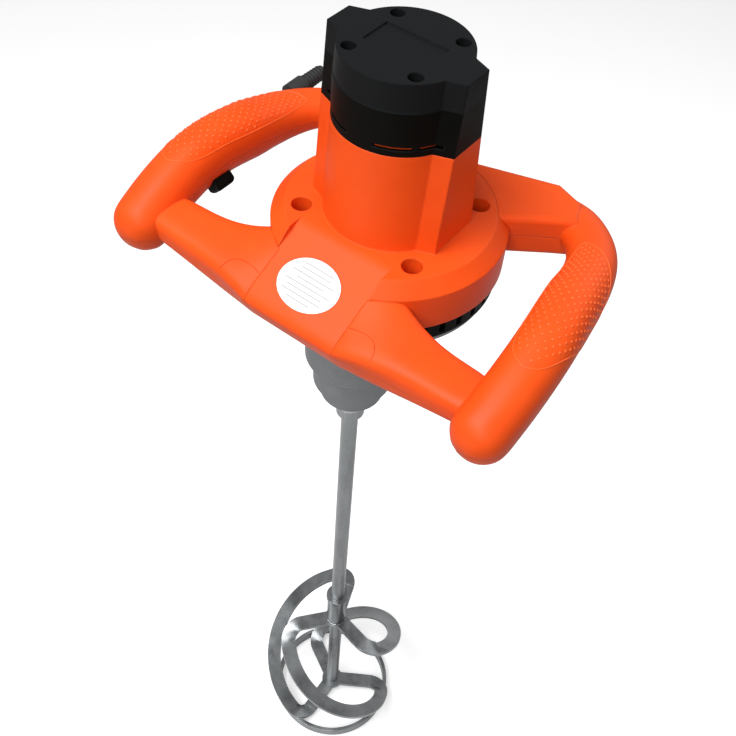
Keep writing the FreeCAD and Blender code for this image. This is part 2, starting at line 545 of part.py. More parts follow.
def armature_and_stator():
    """Wound armature with commutator and fan, and the stator with its field coils."""
    core_bore = "motor_shaft + seat_fit"
    core = ring("armature_core_blank", MOTOR_AXIS, "stator_low + core_setback", "core_radius", core_bore,
                "stator_height - 2 * core_setback")
    slots = []
    slot_count = int(size("core_slots"))
    for index in range(slot_count):
        place = add(MOTOR_AXIS, polar("(core_radius - core_slot_inset)", 360 * index / slot_count))
        slots.append(cylinder("core_slot", place, "stator_low", "core_slot_radius", "stator_height"))
    node("armature_core", cut("armature_core_solid", core, slots))
    ends = []
    levels = {"low": "stator_low + core_setback - winding_height", "top": f"{STATOR_TOP} - core_setback"}
    for name, low in levels.items():
        blank = fuse(f"winding_{name}_blank", [
            cylinder(f"winding_{name}_belt", MOTOR_AXIS, f"{low} + winding_edge", "winding_radius",
                     "winding_height - 2 * winding_edge"),
            cone(f"winding_{name}_foot", MOTOR_AXIS, low, "winding_radius - winding_taper", "winding_radius",
                 "winding_edge"),
            cone(f"winding_{name}_head", MOTOR_AXIS, f"{low} + winding_height - winding_edge",
                 "winding_radius", "winding_radius - winding_taper", "winding_edge"),
        ])
        bore = cylinder(f"winding_{name}_bore", MOTOR_AXIS, low, core_bore, "winding_height")
        ends.append(cut(f"winding_{name}", blank, [bore]))
    node("armature_winding", group("armature_winding_set", ends))

    bars = ring("commutator_blank", MOTOR_AXIS, "commutator_low", "commutator_radius", core_bore,
                "commutator_height")
    gaps = []
    bar_count = int(size("commutator_bars"))
    for index in range(bar_count):
        angle = 360 * index / bar_count
        gap = box("commutator_gap_solid", ("0", "0"), "commutator_low", "commutator_gap_depth",
                  "commutator_gap", "commutator_height")
        gap.Placement.Rotation = FreeCAD.Rotation(Vector(0, 0, 1), angle)
        move(gap, add(MOTOR_AXIS, polar("(commutator_radius - commutator_cut)", angle)), "commutator_low")
        gaps.append(gap)
    node("commutator", cut("commutator_solid", bars, gaps))

    fan_low = f"({PLATE_TOP} + fan_gap)"
    fan_items = [
        cylinder("fan_hub_solid", MOTOR_AXIS, fan_low, "fan_hub", "fan_height"),
        cylinder("fan_plate_solid", MOTOR_AXIS, fan_low, "fan_radius", "fan_plate"),
    ]
    for index in range(int(size("fan_blades"))):
        angle = 360 * index / size("fan_blades")
        blade = bind(doc.addObject("Part::Box", "fan_blade_solid"), Length="fan_radius - fan_hub",
                     Width="fan_blade", Height="fan_height")
        blade.Placement.Rotation = FreeCAD.Rotation(Vector(0, 0, 1), angle - size("fan_lean"))
        fan_items.append(move(blade, add(MOTOR_AXIS, polar("(fan_hub - fan_blade_root)", angle)), fan_low))
    fan_round = cylinder("fan_round", MOTOR_AXIS, fan_low, "fan_radius", "fan_height")
    fan_common = doc.addObject("Part::MultiCommon", "fan_trimmed")
    fan_common.Shapes = [fuse("fan_blank", fan_items), fan_round]
    node("fan", cut("fan_solid", fan_common,
                    [cylinder("fan_bore", MOTOR_AXIS, fan_low, core_bore, "fan_height")]))

    stator = ring("stator_blank", MOTOR_AXIS, "stator_low", STATOR_RADIUS, "core_radius + air_gap",
                  "stator_height")
    coil_slots = []
    legs = []
    for angle in COIL_ANGLES:
        place = add(MOTOR_AXIS, polar(COIL_CIRCLE, angle))
        coil_slots.append(cylinder("coil_slot", place, "stator_low", COIL_SLOT, "stator_height"))
        legs.append(cylinder("coil_leg", place, "stator_low - coil_height", f"{COIL_SLOT} - coil_gap",
                             "stator_height + 2 * coil_height"))
    node("stator_core", cut("stator_core_solid", stator, coil_slots))
    rings = []
    for name, low in (("low", "stator_low - coil_height"), ("top", f"{STATOR_TOP} + coil_gap")):
        rings.append(ring(f"coil_{name}_ring", MOTOR_AXIS, low, f"{COIL_CIRCLE} + {COIL_SLOT}",
                          f"{COIL_CIRCLE} - {COIL_SLOT}", "coil_height - coil_gap"))
    split = box("coil_split_solid", ("0", "motor_offset"), "stator_low - coil_height", "coil_split",
                f"3 * {COIL_CIRCLE}", "stator_height + 2 * coil_height")
    node("field_coils", cut("field_coils_solid", fuse("field_coils_blank", rings + legs), [split]))

    brushes = []
    holders = []
    brush_level = "(commutator_low + (commutator_height - brush_height) / 2)"
    for name, sign in (("left", "-"), ("right", "")):
        middle = f"({sign}(commutator_radius + brush_gap + brush_length / 2))"
        brushes.append(box(f"brush_{name}", (middle, "motor_offset"), brush_level, "brush_length",
                           "brush_width", "brush_height"))
        holder_middle = f"({sign}({HOLDER_START} + {HOLDER_LENGTH} / 2))"
        sleeve = box(f"holder_{name}_sleeve", (holder_middle, "motor_offset"), f"{brush_level} - holder_wall",
                     HOLDER_LENGTH, "brush_width + 2 * holder_wall", "brush_height + 2 * holder_wall")
        slot = box(f"holder_{name}_slot", (holder_middle, "motor_offset"), f"{brush_level} - seat_fit",
                   HOLDER_LENGTH, "brush_width + 2 * seat_fit", "brush_height + 2 * seat_fit")
        holders.append(cut(f"holder_{name}", sleeve, [slot]))
    node("carbon_brushes", group("brush_set", brushes))
    node("brush_holders", group("holder_set", holders))


def ear(name, sign, low, high):
    """One side ear of the motor casing between two levels: a trapezium in plan that narrows upwards."""
    def outline(level):
        share = (level - size("tube_low")) / (size("cap_top") - size("tube_low"))
        half = size("ear_base_half") + share * (size("ear_top_half") - size("ear_base_half"))
        root = min(size("tube_top_radius"), size("cap_top_radius")) - size("ear_inset")
        root_half = half + size("ear_root_extra")
        reach = size("ear_reach")
        corners = [(root, -root_half), (reach, -half), (reach, half), (root, root_half)]
        points = [Vector(sign * x, size("motor_offset") + y, level) for x, y in corners]
        return Part.makePolygon(points + points[:1])
    return shaped(name, Part.makeLoft([outline(low), outline(high)], True, True))


def motor_cap():
    """The black motor cap with its screw wells, plain badge recess, air slits and brush pockets."""
    height = "(cap_top - tube_top)"
    outside = fuse("cap_outside", [
        cone("cap_wall_solid", MOTOR_AXIS, "tube_top", "tube_top_radius", "cap_top_radius + cap_band_step",
             f"{height} - cap_band"),
        cone("cap_band_solid", MOTOR_AXIS, "cap_top - cap_band", "cap_top_radius + cap_band_step / 2",
             "cap_top_radius - cap_band_step", "cap_band"),
        ear("cap_ear_right", 1, size("tube_top"), size("cap_top")),
        ear("cap_ear_left", -1, size("tube_top"), size("cap_top")),
    ])
    roof = "(cap_top - cap_wall)"
    hollow = cylinder("cap_hollow", MOTOR_AXIS, "tube_top", f"{NARROW_RADIUS} - cap_wall",
                      f"{roof} - tube_top")
    keep = [cylinder("cap_bearing_boss", MOTOR_AXIS, "end_bearing_low", "end_bearing_radius + cap_boss_wall",
                     f"{roof} - end_bearing_low")]
    tools = []
    screws = []
    well_low = "(cap_top - cap_well_depth)"
    for sign_x in ("", "-"):
        for sign_y in ("+", "-"):
            place = (f"({sign_x}{CAP_SPREAD})", f"(motor_offset {sign_y} {CAP_SPREAD})")
            keep.append(cylinder("cap_boss", place, "tube_top", "cap_boss_radius", f"{roof} - tube_top"))
            tools.append(cylinder("cap_well", place, well_low, "cap_well_radius", "cap_well_depth"))
            tools.append(cylinder("cap_screw_hole", place, "tube_top", "cap_screw_radius + screw_slack",
                                  height))
            shank = cylinder("cap_shank", place, f"tube_top - {CAP_GRIP}", "cap_screw_radius",
                             f"{well_low} - tube_top + {CAP_GRIP}")
            head = cylinder("cap_head", place, well_low, "cap_well_radius - cap_head_slack",
                            "screw_head_height - cap_head_drop")
            cross = box("cap_drive", place, f"{well_low} + screw_head_height - drive_seat", "drive_length",
                        "drive_width", "drive_depth")
            screws.append(cut("cap_screw", fuse("cap_screw_blank", [shank, head]), [cross]))
    room = cut("cap_room", hollow, keep)
    for name, sign in (("left", "-"), ("right", "")):
        pocket_middle = f"({sign}(tube_top_radius - pocket_inset))"
        tools.append(box(f"cap_brush_pocket_{name}", (pocket_middle, "motor_offset"), "tube_top",
                         "pocket_length", "brush_width + 2 * holder_wall + 2 * joint_gap",
                         "commutator_low + commutator_height - tube_top + joint_gap"))
    tools.append(cylinder("cap_bearing_seat", MOTOR_AXIS, "end_bearing_low", "end_bearing_radius",
                          "end_bearing_width + bearing_slack"))
    tools.append(box("cap_badge", ("0", "motor_offset"), "cap_top - emblem_depth", "emblem_length",
                     "emblem_width", "emblem_depth"))
    for angle in SLIT_ANGLES:
        slit = box("cap_slit", ("0", "0"), "0", "slit_depth", "slit_length", "slit_height")
        slit.Placement.Rotation = FreeCAD.Rotation(Vector(0, 0, 1), angle)
        radius = "(tube_top_radius - slit_inset)"
        half = "slit_length / 2"
        corner = (f"{radius} * cos({angle} deg) + {half} * sin({angle} deg)",
                  f"{radius} * sin({angle} deg) - {half} * cos({angle} deg)")
        tools.append(move(slit, add(MOTOR_AXIS, corner), "tube_top + slit_rise"))
    node("motor_cap", cut("motor_cap_solid", outside, [room] + tools))
    node("cap_screws", group("cap_screw_set", screws))


def ramp_slope():
    """The ramp's slope in radians."""
    return math.atan2(size("ramp_drop"), size("ramp_back") - size("ramp_front"))


def ramp_point(share):
    """The y and z of a place on the ramp, from its back edge at 0 to its front edge at 1."""
    return (size("ramp_back") + share * (size("ramp_front") - size("ramp_back")),
            size("tube_low") - share * size("ramp_drop"))


def arm_root(inset):
    """The arm's section where it leaves the centre block, flush with the ramp, drawn in by an inset."""
    slope = ramp_slope()
    y, z = ramp_point(size("ramp_middle"))
    depth = size("arm_root_half_height")
    side = size("ramp_half") + size("joint_gap")
    centre = Vector(side, y + depth * math.sin(slope), z - depth * math.cos(slope))
    half_depth = size("arm_root_half_depth") - inset
    section = oval(centre, Vector(1, 0, 0), half_depth, depth - inset, ROOT_POWER, slope)
    return centre, section


def ramp_block():
    """The sloping centre block: the arms' root section carried across, and a back part up to the disc."""
    half = size("ramp_half")
    centre, section = arm_root(0)
    nose = Part.Face(section).extrude(Vector(-2 * half, 0, 0))
    nose.translate(Vector(-size("joint_gap"), 0, 0))
    slope = ramp_slope()
    depth = size("arm_root_half_height")
    bottom = centre.z - depth * math.cos(slope)
    outline = [(size("ramp_back"), size("tube_low")), ramp_point(size("ramp_flat")), (centre.y, centre.z),
               (centre.y + depth * math.sin(slope), bottom), (size("ramp_back"), bottom)]
    points = [Vector(-half, y, z) for y, z in outline]
    back = Part.Face(Part.makePolygon(points + points[:1])).extrude(Vector(2 * half, 0, 0))
    return shaped("ramp_block", nose.fuse(back))


def ramp_space():
    """The wedge over the ramp, with its rounded upper edge and a groove at each side, cut from the disc."""
    half = size("ramp_half") + size("ramp_groove")
    top = size("tube_low")
    above = top + size("disc_chamfer")
    slope = ramp_slope()
    radius = size("ramp_round")
    reach = radius * math.tan(slope / 2)
    back = size("ramp_back") + reach
    bend = [Vector(-half, back - radius * math.sin(turn), top - radius + radius * math.cos(turn))
            for turn in (0, slope / 2, slope)]
    outline = [(size("ramp_front"), top - size("ramp_drop")), (size("ramp_front"), above), (back, above)]
    points = bend[-1:] + [Vector(-half, y, z) for y, z in outline] + bend[:1]
    rim = Part.Wire([Part.Arc(*bend).toShape()] + Part.makePolygon(points).Edges)
    return shaped("ramp_space", Part.Face(rim).extrude(Vector(2 * half, 0, 0)))


def motor_housing():
    """The orange moulding: motor tube with ears, fan disc, centre block and screw wells."""
    disc = fuse("disc_blank", [
        cylinder("disc_wall_solid", MOTOR_AXIS, "disc_low", "disc_radius",
                 "tube_low - disc_chamfer - disc_low"),
        cone("disc_chamfer_solid", MOTOR_AXIS, "tube_low - disc_chamfer", "disc_radius", "disc_top_radius",
             "disc_chamfer"),
    ])
    outside = fuse("housing_outside", [
        cone("housing_tube", MOTOR_AXIS, "tube_low", "tube_base_radius", "tube_top_radius",
             "tube_top - tube_low"),
        ear("housing_ear_right", 1, size("tube_low"), size("tube_top")),
        ear("housing_ear_left", -1, size("tube_low"), size("tube_top")),
        cut("disc_solid", fuse("disc_with_block", [disc, ramp_block()]), [ramp_space()]),
    ])
    hollow = fuse("housing_hollow", [
        cylinder("fan_room", MOTOR_AXIS, "block_low - cut_over", "fan_chamber",
                 "chamber_roof - block_low + cut_over"),
        cylinder("motor_room", MOTOR_AXIS, "chamber_roof", MOTOR_BORE, "tube_top - chamber_roof"),
        ring("disc_groove", MOTOR_AXIS, "disc_low", "disc_radius - disc_wall", "groove_inner",
             "groove_roof - disc_low"),
        cylinder("vent_room", MOTOR_AXIS, "block_low - cut_over", "vent_radius + joint_gap",
                 "disc_low - block_low + cut_over"),
    ])
    keep = []
    tools = []
    screws = []
    for place in well_places():
        keep.append(cylinder("well_post", place, PLATE_TOP, "well_radius + well_wall",
                             f"tube_low - cut_over - {PLATE_TOP}"))
        tools.append(cylinder("well_bore", place, "well_floor", "well_radius",
                              "tube_low + cut_over - well_floor"))
        tools.append(cylinder("well_screw_hole", place, PLATE_TOP, "frame_screw_radius + screw_slack",
                              f"well_floor - {PLATE_TOP}"))
        shank = cylinder("frame_shank", place, "case_top + screw_end_gap", "frame_screw_radius",
                         "well_floor - case_top - screw_end_gap")
        head = cylinder("frame_head", place, "well_floor", "frame_screw_head", "screw_head_height")
        socket = cylinder("frame_socket", place, "well_floor + socket_floor",
                          "frame_screw_radius - socket_inset", "screw_head_height - socket_floor")
        screws.append(cut("frame_screw", fuse("frame_screw_blank", [shank, head]), [socket]))
    post_low = f"(tube_top - {CAP_GRIP} - post_end)"
    cap_posts = []
    for sign_x in ("", "-"):
        for sign_y in ("+", "-"):
            place = (f"({sign_x}{CAP_SPREAD})", f"(motor_offset {sign_y} {CAP_SPREAD})")
            cap_posts.append(cylinder("cap_post", place, post_low, "cap_boss_radius",
                                      f"tube_top - {post_low}"))
            tools.append(cylinder("cap_post_hole", place, f"tube_top - {CAP_GRIP}",
                                  "cap_screw_radius + seat_fit", CAP_GRIP))
    posts = cut("cap_posts_trimmed", fuse("cap_posts", cap_posts),
                [cylinder("coil_top_room", MOTOR_AXIS, post_low, f"{COIL_CIRCLE} - {COIL_SLOT} - post_room",
                          f"tube_top - {post_low}")])
    room = cut("housing_room", hollow, keep)
    shell = cut("housing_shell", outside, [room])
    solid = fuse("housing_with_posts", [shell, posts])
    node("motor_housing", cut("motor_housing_solid", solid, tools))
    node("housing_screws", group("frame_screw_set", screws))


def vent_ring():
    """The black slotted ring that lets the fan blow out under the disc."""
    height = f"(disc_low - {PLATE_TOP})"
    blank = ring("vent_blank", MOTOR_AXIS, PLATE_TOP, "vent_radius", "vent_radius - vent_wall", height)
    slots = []
    count = int(size("vent_slots"))
    for index in range(count):
        angle = 360 * (index + 0.5) / count
        front = abs(angle - FRONT_ANGLE) < size("vent_shut")
        if front:
            continue
        slot = box("vent_slot", ("0", "0"), "0", "vent_wall * 3", "vent_slot_width",
                   f"{height} - 2 * vent_rim")
        slot.Placement.Rotation = FreeCAD.Rotation(Vector(0, 0, 1), angle)
        inner = "(vent_radius - vent_wall * 2)"
        half = "vent_slot_width / 2"
        corner = (f"{inner} * cos({angle} deg) + {half} * sin({angle} deg)",
                  f"{inner} * sin({angle} deg) - {half} * cos({angle} deg)")
        slots.append(move(slot, add(MOTOR_AXIS, corner), f"{PLATE_TOP} + vent_rim"))
    node("vent_ring", cut("vent_ring_solid", blank, slots))


def label_plate():
    """The bare oval plate on the ramp."""
    edge = Part.Ellipse(Vector(0, 0, 0), size("label_half_x"), size("label_half_y")).toShape()
    face = Part.Face(Part.Wire(edge))
    plate = shaped("label_solid", face.extrude(Vector(0, 0, size("label_thickness"))))
    middle_y, middle_z = ramp_point(size("label_share"))
    plate.Placement = FreeCAD.Placement(Vector(size("label_x"), middle_y, middle_z),
                                        FreeCAD.Rotation(Vector(1, 0, 0), math.degrees(ramp_slope())))
    node("label_plate", plate)


def oval(centre, along, half_width, half_height, power, tilt=0):
    """A closed smooth section square to a path: a superellipse of given half sizes, tilted about the path."""
    level_side = Vector(along.y, -along.x, 0)
    level_side.normalize()
    steep = level_side.cross(along)
    steep.normalize()
    side = level_side * math.cos(tilt) - steep * math.sin(tilt)
    upward = level_side * math.sin(tilt) + steep * math.cos(tilt)
    points = []
    for index in range(SECTION_POINTS):
        angle = 2 * math.pi * index / SECTION_POINTS
        cosine, sine = math.cos(angle), math.sin(angle)
        across = half_width * math.copysign(abs(cosine) ** (2 / power), cosine)
        rise = half_height * math.copysign(abs(sine) ** (2 / power), sine)
        points.append(centre + side * across + upward * rise)
    curve = Part.BSplineCurve()
    curve.interpolate(points, PeriodicFlag=True)
    return Part.Wire(curve.toShape())


def handle_path():
    """The handle's axis as a smooth curve through its stations."""
    curve = Part.BSplineCurve()
    curve.interpolate([Vector(x, y, size("grip_level") + z) for x, y, z in HANDLE_STATIONS])
    return curve


def grip_solid(inset):
    """The swept handle from the rear arm to its domed front end, drawn in by an inset."""
    curve = handle_path()
    first, last = curve.FirstParameter, curve.LastParameter
    wires = []
    for step in range(HANDLE_STEPS + 1):
        share = GRIP_START + (1 - GRIP_START) * step / HANDLE_STEPS
        place = first + (last - first) * share
        blend = min(1, max(0, (share - REAR_ARM_SHARE) / REAR_ARM_BLEND))
        width = size("rear_arm_half_width") * (1 - blend) + size("grip_half_width") * blend - inset
        height = size("rear_arm_half_height") * (1 - blend) + size("grip_half_height") * blend - inset
        direction = Vector(*curve.tangent(place)[0])
        wires.append(oval(curve.value(place), direction, width, height, GRIP_POWER))
    reach = size("grip_half_width") - inset
    for share in DOME_SHARES:
        scale = math.sqrt(1 - share ** 2)
        centre = curve.value(last) + direction * (reach * share)
        wires.append(oval(centre, direction, width * scale, height * scale, GRIP_POWER))
    return Part.makeLoft(wires, True, False)


def rear_arm_solid(inset):
    """The flat rear arm from the disc to the grip's corner, drawn in by an inset."""
    low = size("rear_arm_low") + inset
    points = [Vector(x, y, low) for x, y in REAR_ARM_OUTLINE]
    outline = Part.makePolygon(points + points[:1])
    if inset > 0:
        outline = outline.makeOffset2D(-inset)
    block = Part.Face(outline).extrude(Vector(0, 0, size("tube_low") - inset - low))
    edges = [edge for edge in block.Edges if edge.BoundBox.ZLength < FLAT]
    return block.makeFillet(size("rear_arm_edge") - inset, edges)


def arm_solid(inset):
    """The front arm from the centre block into the grip, drawn in by an inset."""
    level = size("grip_level")
    wires = [arm_root(inset)[1]]
    for x, y, z, depth, height, tilt in ARM_STATIONS:
        power = ARM_POWER + (ROOT_POWER - ARM_POWER) * tilt
        wires.append(oval(Vector(x, y, level + z), Vector(1, 0, 0), depth - inset, height - inset, power,
                          tilt * ramp_slope()))
    return Part.makeLoft(wires, True, False)


def housing_space():
    """The room that the handle shells leave for the disc, the motor tube and the centre block."""
    gap = size("joint_gap")
    low = size("case_top")
    height = size("cap_top") - low
    axis = Vector(0, size("motor_offset"), 0)
    chamfer_low = size("tube_low") - size("disc_chamfer")
    wide = size("disc_radius") + gap
    narrow = size("disc_top_radius") + gap
    wall = Part.makeCylinder(wide, chamfer_low - low, axis + Vector(0, 0, low))
    chamfer = Part.makeCone(wide, narrow, size("disc_chamfer"), axis + Vector(0, 0, chamfer_low))
    tube_low = size("tube_low")
    above = Part.makeCylinder(narrow, size("cap_top") - tube_low, axis + Vector(0, 0, tube_low))
    reach = size("disc_radius")
    block = Part.makeBox(size("ramp_half") + gap, reach, height, Vector(0, -reach, low))
    return [wall, chamfer, above, block]


def handles():
    """Both hollow handles, each parted into an upper and a lower shell held by screws."""
    level = size("grip_level")
    wall = size("shell_wall")
    reach = 2 * size("disc_radius")
    depth = size("handle_screw_depth")
    outside = grip_solid(0).fuse([arm_solid(0), rear_arm_solid(0)])
    inside = grip_solid(wall).fuse([arm_solid(wall), rear_arm_solid(wall)])
    tall = 4 * size("grip_half_height")
    tools = housing_space()
    screws = []
    for x, y in POSTS:
        middle = level + parting_level(y)
        inside = inside.cut(Part.makeCylinder(size("post_radius"), tall, Vector(x, y, middle - tall / 2)))
        head_low = middle - depth
        hole = size("handle_screw_radius") + size("seat_fit")
        tools.append(Part.makeCylinder(hole, 2 * depth, Vector(x, y, head_low)))
        tools.append(Part.makeCylinder(size("handle_screw_head") + size("screw_slack"), tall,
                                       Vector(x, y, head_low - tall)))
        shank = Part.makeCylinder(size("handle_screw_radius"), 2 * depth - size("screw_end_gap"),
                                  Vector(x, y, head_low))
        head_height = size("handle_screw_head_height")
        head = Part.makeCylinder(size("handle_screw_head"), head_height, Vector(x, y, head_low - head_height))
        screws.append(shank.fuse(head).removeSplitter())
    shell = outside.cut(inside)
    for tool in tools:
        shell = shell.cut(tool)
    lines = [Vector(-reach, y, level + z) for y, z in PARTING]
    floor = [Vector(-reach, PARTING[-1][0], 0), Vector(-reach, PARTING[0][0], 0)]
    below = Part.Face(Part.makePolygon(lines + floor + lines[:1])).extrude(Vector(2 * reach, 0, 0))
    upper = shell.cut(below)
    lower = shell.common(below)
    mirror_at = Vector(0, 0, 0)
    mirror_normal = Vector(1, 0, 0)
    windows = side_windows()
    for side in ("right", "left"):
        pieces = {"upper": upper, "lower": lower}
        for level_name, piece in pieces.items():
            shape = piece if side == "right" else piece.mirror(mirror_at, mirror_normal)
            for window in windows[side]:
                shape = shape.cut(window)
            node(f"handle_{side}_{level_name}", shaped(f"handle_{side}_{level_name}_solid", shape))
    both = screws + [screw.mirror(mirror_at, mirror_normal) for screw in screws]
    node("handle_screws", shaped("handle_screw_set", Part.makeCompound(both)))


def parting_level(y):
    """The parting line's height over the grip level at a place y."""
    for (y_low, z_low), (y_high, z_high) in zip(PARTING, PARTING[1:]):
        if y_low <= y <= y_high:
            return z_low + (z_high - z_low) * (y - y_low) / (y_high - y_low)
    return PARTING[-1][1]


def grip_axis(y):
    """The grip's axis at a place y, between the corner and the front end of the right handle."""
    stations = [station for station in HANDLE_STATIONS if station[1] < GRIP_END_Y]
    for first, second in zip(stations, stations[1:]):
        if second[1] <= y <= first[1]:
            share = (y - first[1]) / (second[1] - first[1])
            return (first[0] + share * (second[0] - first[0]), size("grip_level") + first[2]
                    + share * (second[2] - first[2]))
    return (stations[0][0], size("grip_level") + stations[0][2])


def tilted(shape, sign, y):
    """A shape drawn at the origin, with -Z as the way out, set on a grip's axis facing inwards and down."""
    x, z = grip_axis(y)
    turn = FreeCAD.Rotation(Vector(0, 1, 0), sign * size("control_tilt"))
    placed = shape.copy()
    placed.Placement = FreeCAD.Placement(Vector(sign * x, y, z), turn)
    return placed


def centred_box(length, width, low, high):
    """A box round the Z axis between two levels: length along Y and width along X."""
    return Part.makeBox(width, length, high - low, Vector(-width / 2, -length / 2, low))


def with_flanges(shape, sign, y, length):
    """A box inside a grip, given a thin flange at each end that fits the grip's inside."""
    curve = handle_path()
    inset = size("shell_wall") + size("flange_fit")
    thickness = size("flange_thickness")
    for end in (y - length / 2, y + length / 2 - thickness):
        x, z = grip_axis(end)
        place = curve.parameter(Vector(x, end, z))
        direction = Vector(*curve.tangent(place)[0])
        outline = oval(curve.value(place), direction, size("grip_half_width") - inset,
                       size("grip_half_height") - inset, GRIP_POWER)
        flange = Part.Face(outline).extrude(direction * -thickness)
        if sign < 0:
            flange = flange.mirror(Vector(0, 0, 0), Vector(1, 0, 0))
        shape = shape.fuse(flange)
    return shape


def gland_frame():
    """The place and direction of the cable gland on the outside of the left handle's rear corner."""
    direction = Vector(*GLAND_WAY)
    direction.normalize()
    return Vector(size("gland_x"), size("gland_y"), size("grip_level") + size("gland_rise")), direction


def side_windows():
    """Cuts in the handle shells for the trigger and the cable gland on the left and the dial on the right."""
    gap = size("moving_gap")
    low = -size("grip_half_width") - size("window_reach")
    high = -size("window_root")
    trigger_window = centred_box(size("trigger_length") + 2 * gap, size("trigger_width") + 2 * gap, low, high)
    dial_window = centred_box(size("dial_width") + 2 * gap, 2 * size("dial_radius") + 2 * gap, low, high)
    place, direction = gland_frame()
    gland_hole = Part.makeCylinder(size("gland_radius") + size("seat_fit"), size("gland_hole_length"),
                                   place - direction * (size("gland_root") + size("gland_over")), direction)
    return {"left": [tilted(trigger_window, -1, size("trigger_y")), gland_hole],
            "right": [tilted(dial_window, 1, size("dial_y"))]}


def controls():
    """Trigger and switch in the left grip, speed dial and module in the right grip, and the gland."""
    half = size("grip_half_width")
    travel = size("trigger_travel")
    y = size("trigger_y")
    outer = centred_box(size("trigger_length"), size("trigger_width"), -half - size("trigger_reach"),
                        -half + size("trigger_stem"))
    edges = [edge for edge in outer.Edges if edge.BoundBox.ZMax < -half]
    trigger = outer.makeFillet(size("trigger_edge"), edges)
    node("trigger", shaped("trigger_solid", tilted(trigger, -1, y)))
    back = -half + size("trigger_stem") + travel + size("moving_gap")
    switch = centred_box(size("switch_length"), size("switch_width"), back, back + size("switch_height"))
    switch = with_flanges(tilted(switch, -1, y), -1, y, size("switch_length"))
    node("switch_body", shaped("switch_solid", switch))

    dial_y = size("dial_y")
    depth = half + size("dial_reach") - size("dial_radius")
    wheel_at = Vector(0, -size("dial_width") / 2, -depth)
    wheel = Part.makeCylinder(size("dial_radius"), size("dial_width"), wheel_at, Vector(0, 1, 0))
    notches = int(size("dial_notches"))
    for index in range(notches):
        angle = 2 * math.pi * index / notches
        notch_at = Vector(size("dial_radius") * math.cos(angle), -size("dial_width") / 2,
                          -depth + size("dial_radius") * math.sin(angle))
        wheel = wheel.cut(Part.makeCylinder(size("dial_notch"), size("dial_width"), notch_at, Vector(0, 1,
                                                                                                     0)))
    pin_length = size("dial_width") + size("dial_pin_extra")
    pin_at = Vector(0, -pin_length / 2, -depth)
    bore = Part.makeCylinder(size("dial_pin_radius") + size("running_fit"), pin_length, pin_at, Vector(0, 1,
                                                                                                       0))
    pin = Part.makeCylinder(size("dial_pin_radius"), pin_length, pin_at, Vector(0, 1, 0))
    node("speed_dial", shaped("dial_solid", tilted(wheel.cut(bore), 1, dial_y)))
    board_low = -depth + size("dial_radius") + size("module_gap")
    board = centred_box(size("module_length"), size("module_width"), board_low,
                        board_low + size("module_height"))
    thickness = size("cheek_thickness")
    cheek_high = size("module_gap")
    for sign in (-1, 1):
        middle = sign * (size("dial_width") / 2 + size("cheek_gap") + thickness / 2)
        cheek = centred_box(thickness, size("cheek_width"), -depth - size("cheek_reach"), cheek_high)
        cheek.translate(Vector(0, middle, 0))
        board = board.fuse(cheek)
    board = with_flanges(tilted(board.cut(pin), 1, dial_y), 1, dial_y, size("module_length"))
    node("speed_module", shaped("module_solid", board))
    node("dial_pin", shaped("dial_pin_solid", tilted(pin, 1, dial_y)))

    place, direction = gland_frame()
    root = place - direction * size("gland_root")
    tail_length = size("gland_root") + size("gland_length")
    collar_length = size("gland_root") + size("gland_collar_length")
    collar = Part.makeCylinder(size("gland_collar_radius"), collar_length, root, direction)
    collar = collar.cut(grip_solid(-size("joint_gap")).mirror(Vector(0, 0, 0), Vector(1, 0, 0)))
    tail = Part.makeCone(size("gland_radius"), size("gland_tip_radius"), tail_length, root, direction)
    over = size("cut_over")
    cord_hole = Part.makeCylinder(size("cord_radius"), tail_length + 2 * over, root - direction * over,
                                  direction)
    gland = tail.fuse(collar).cut(cord_hole)
    node("cable_gland", shaped("gland_solid", gland))


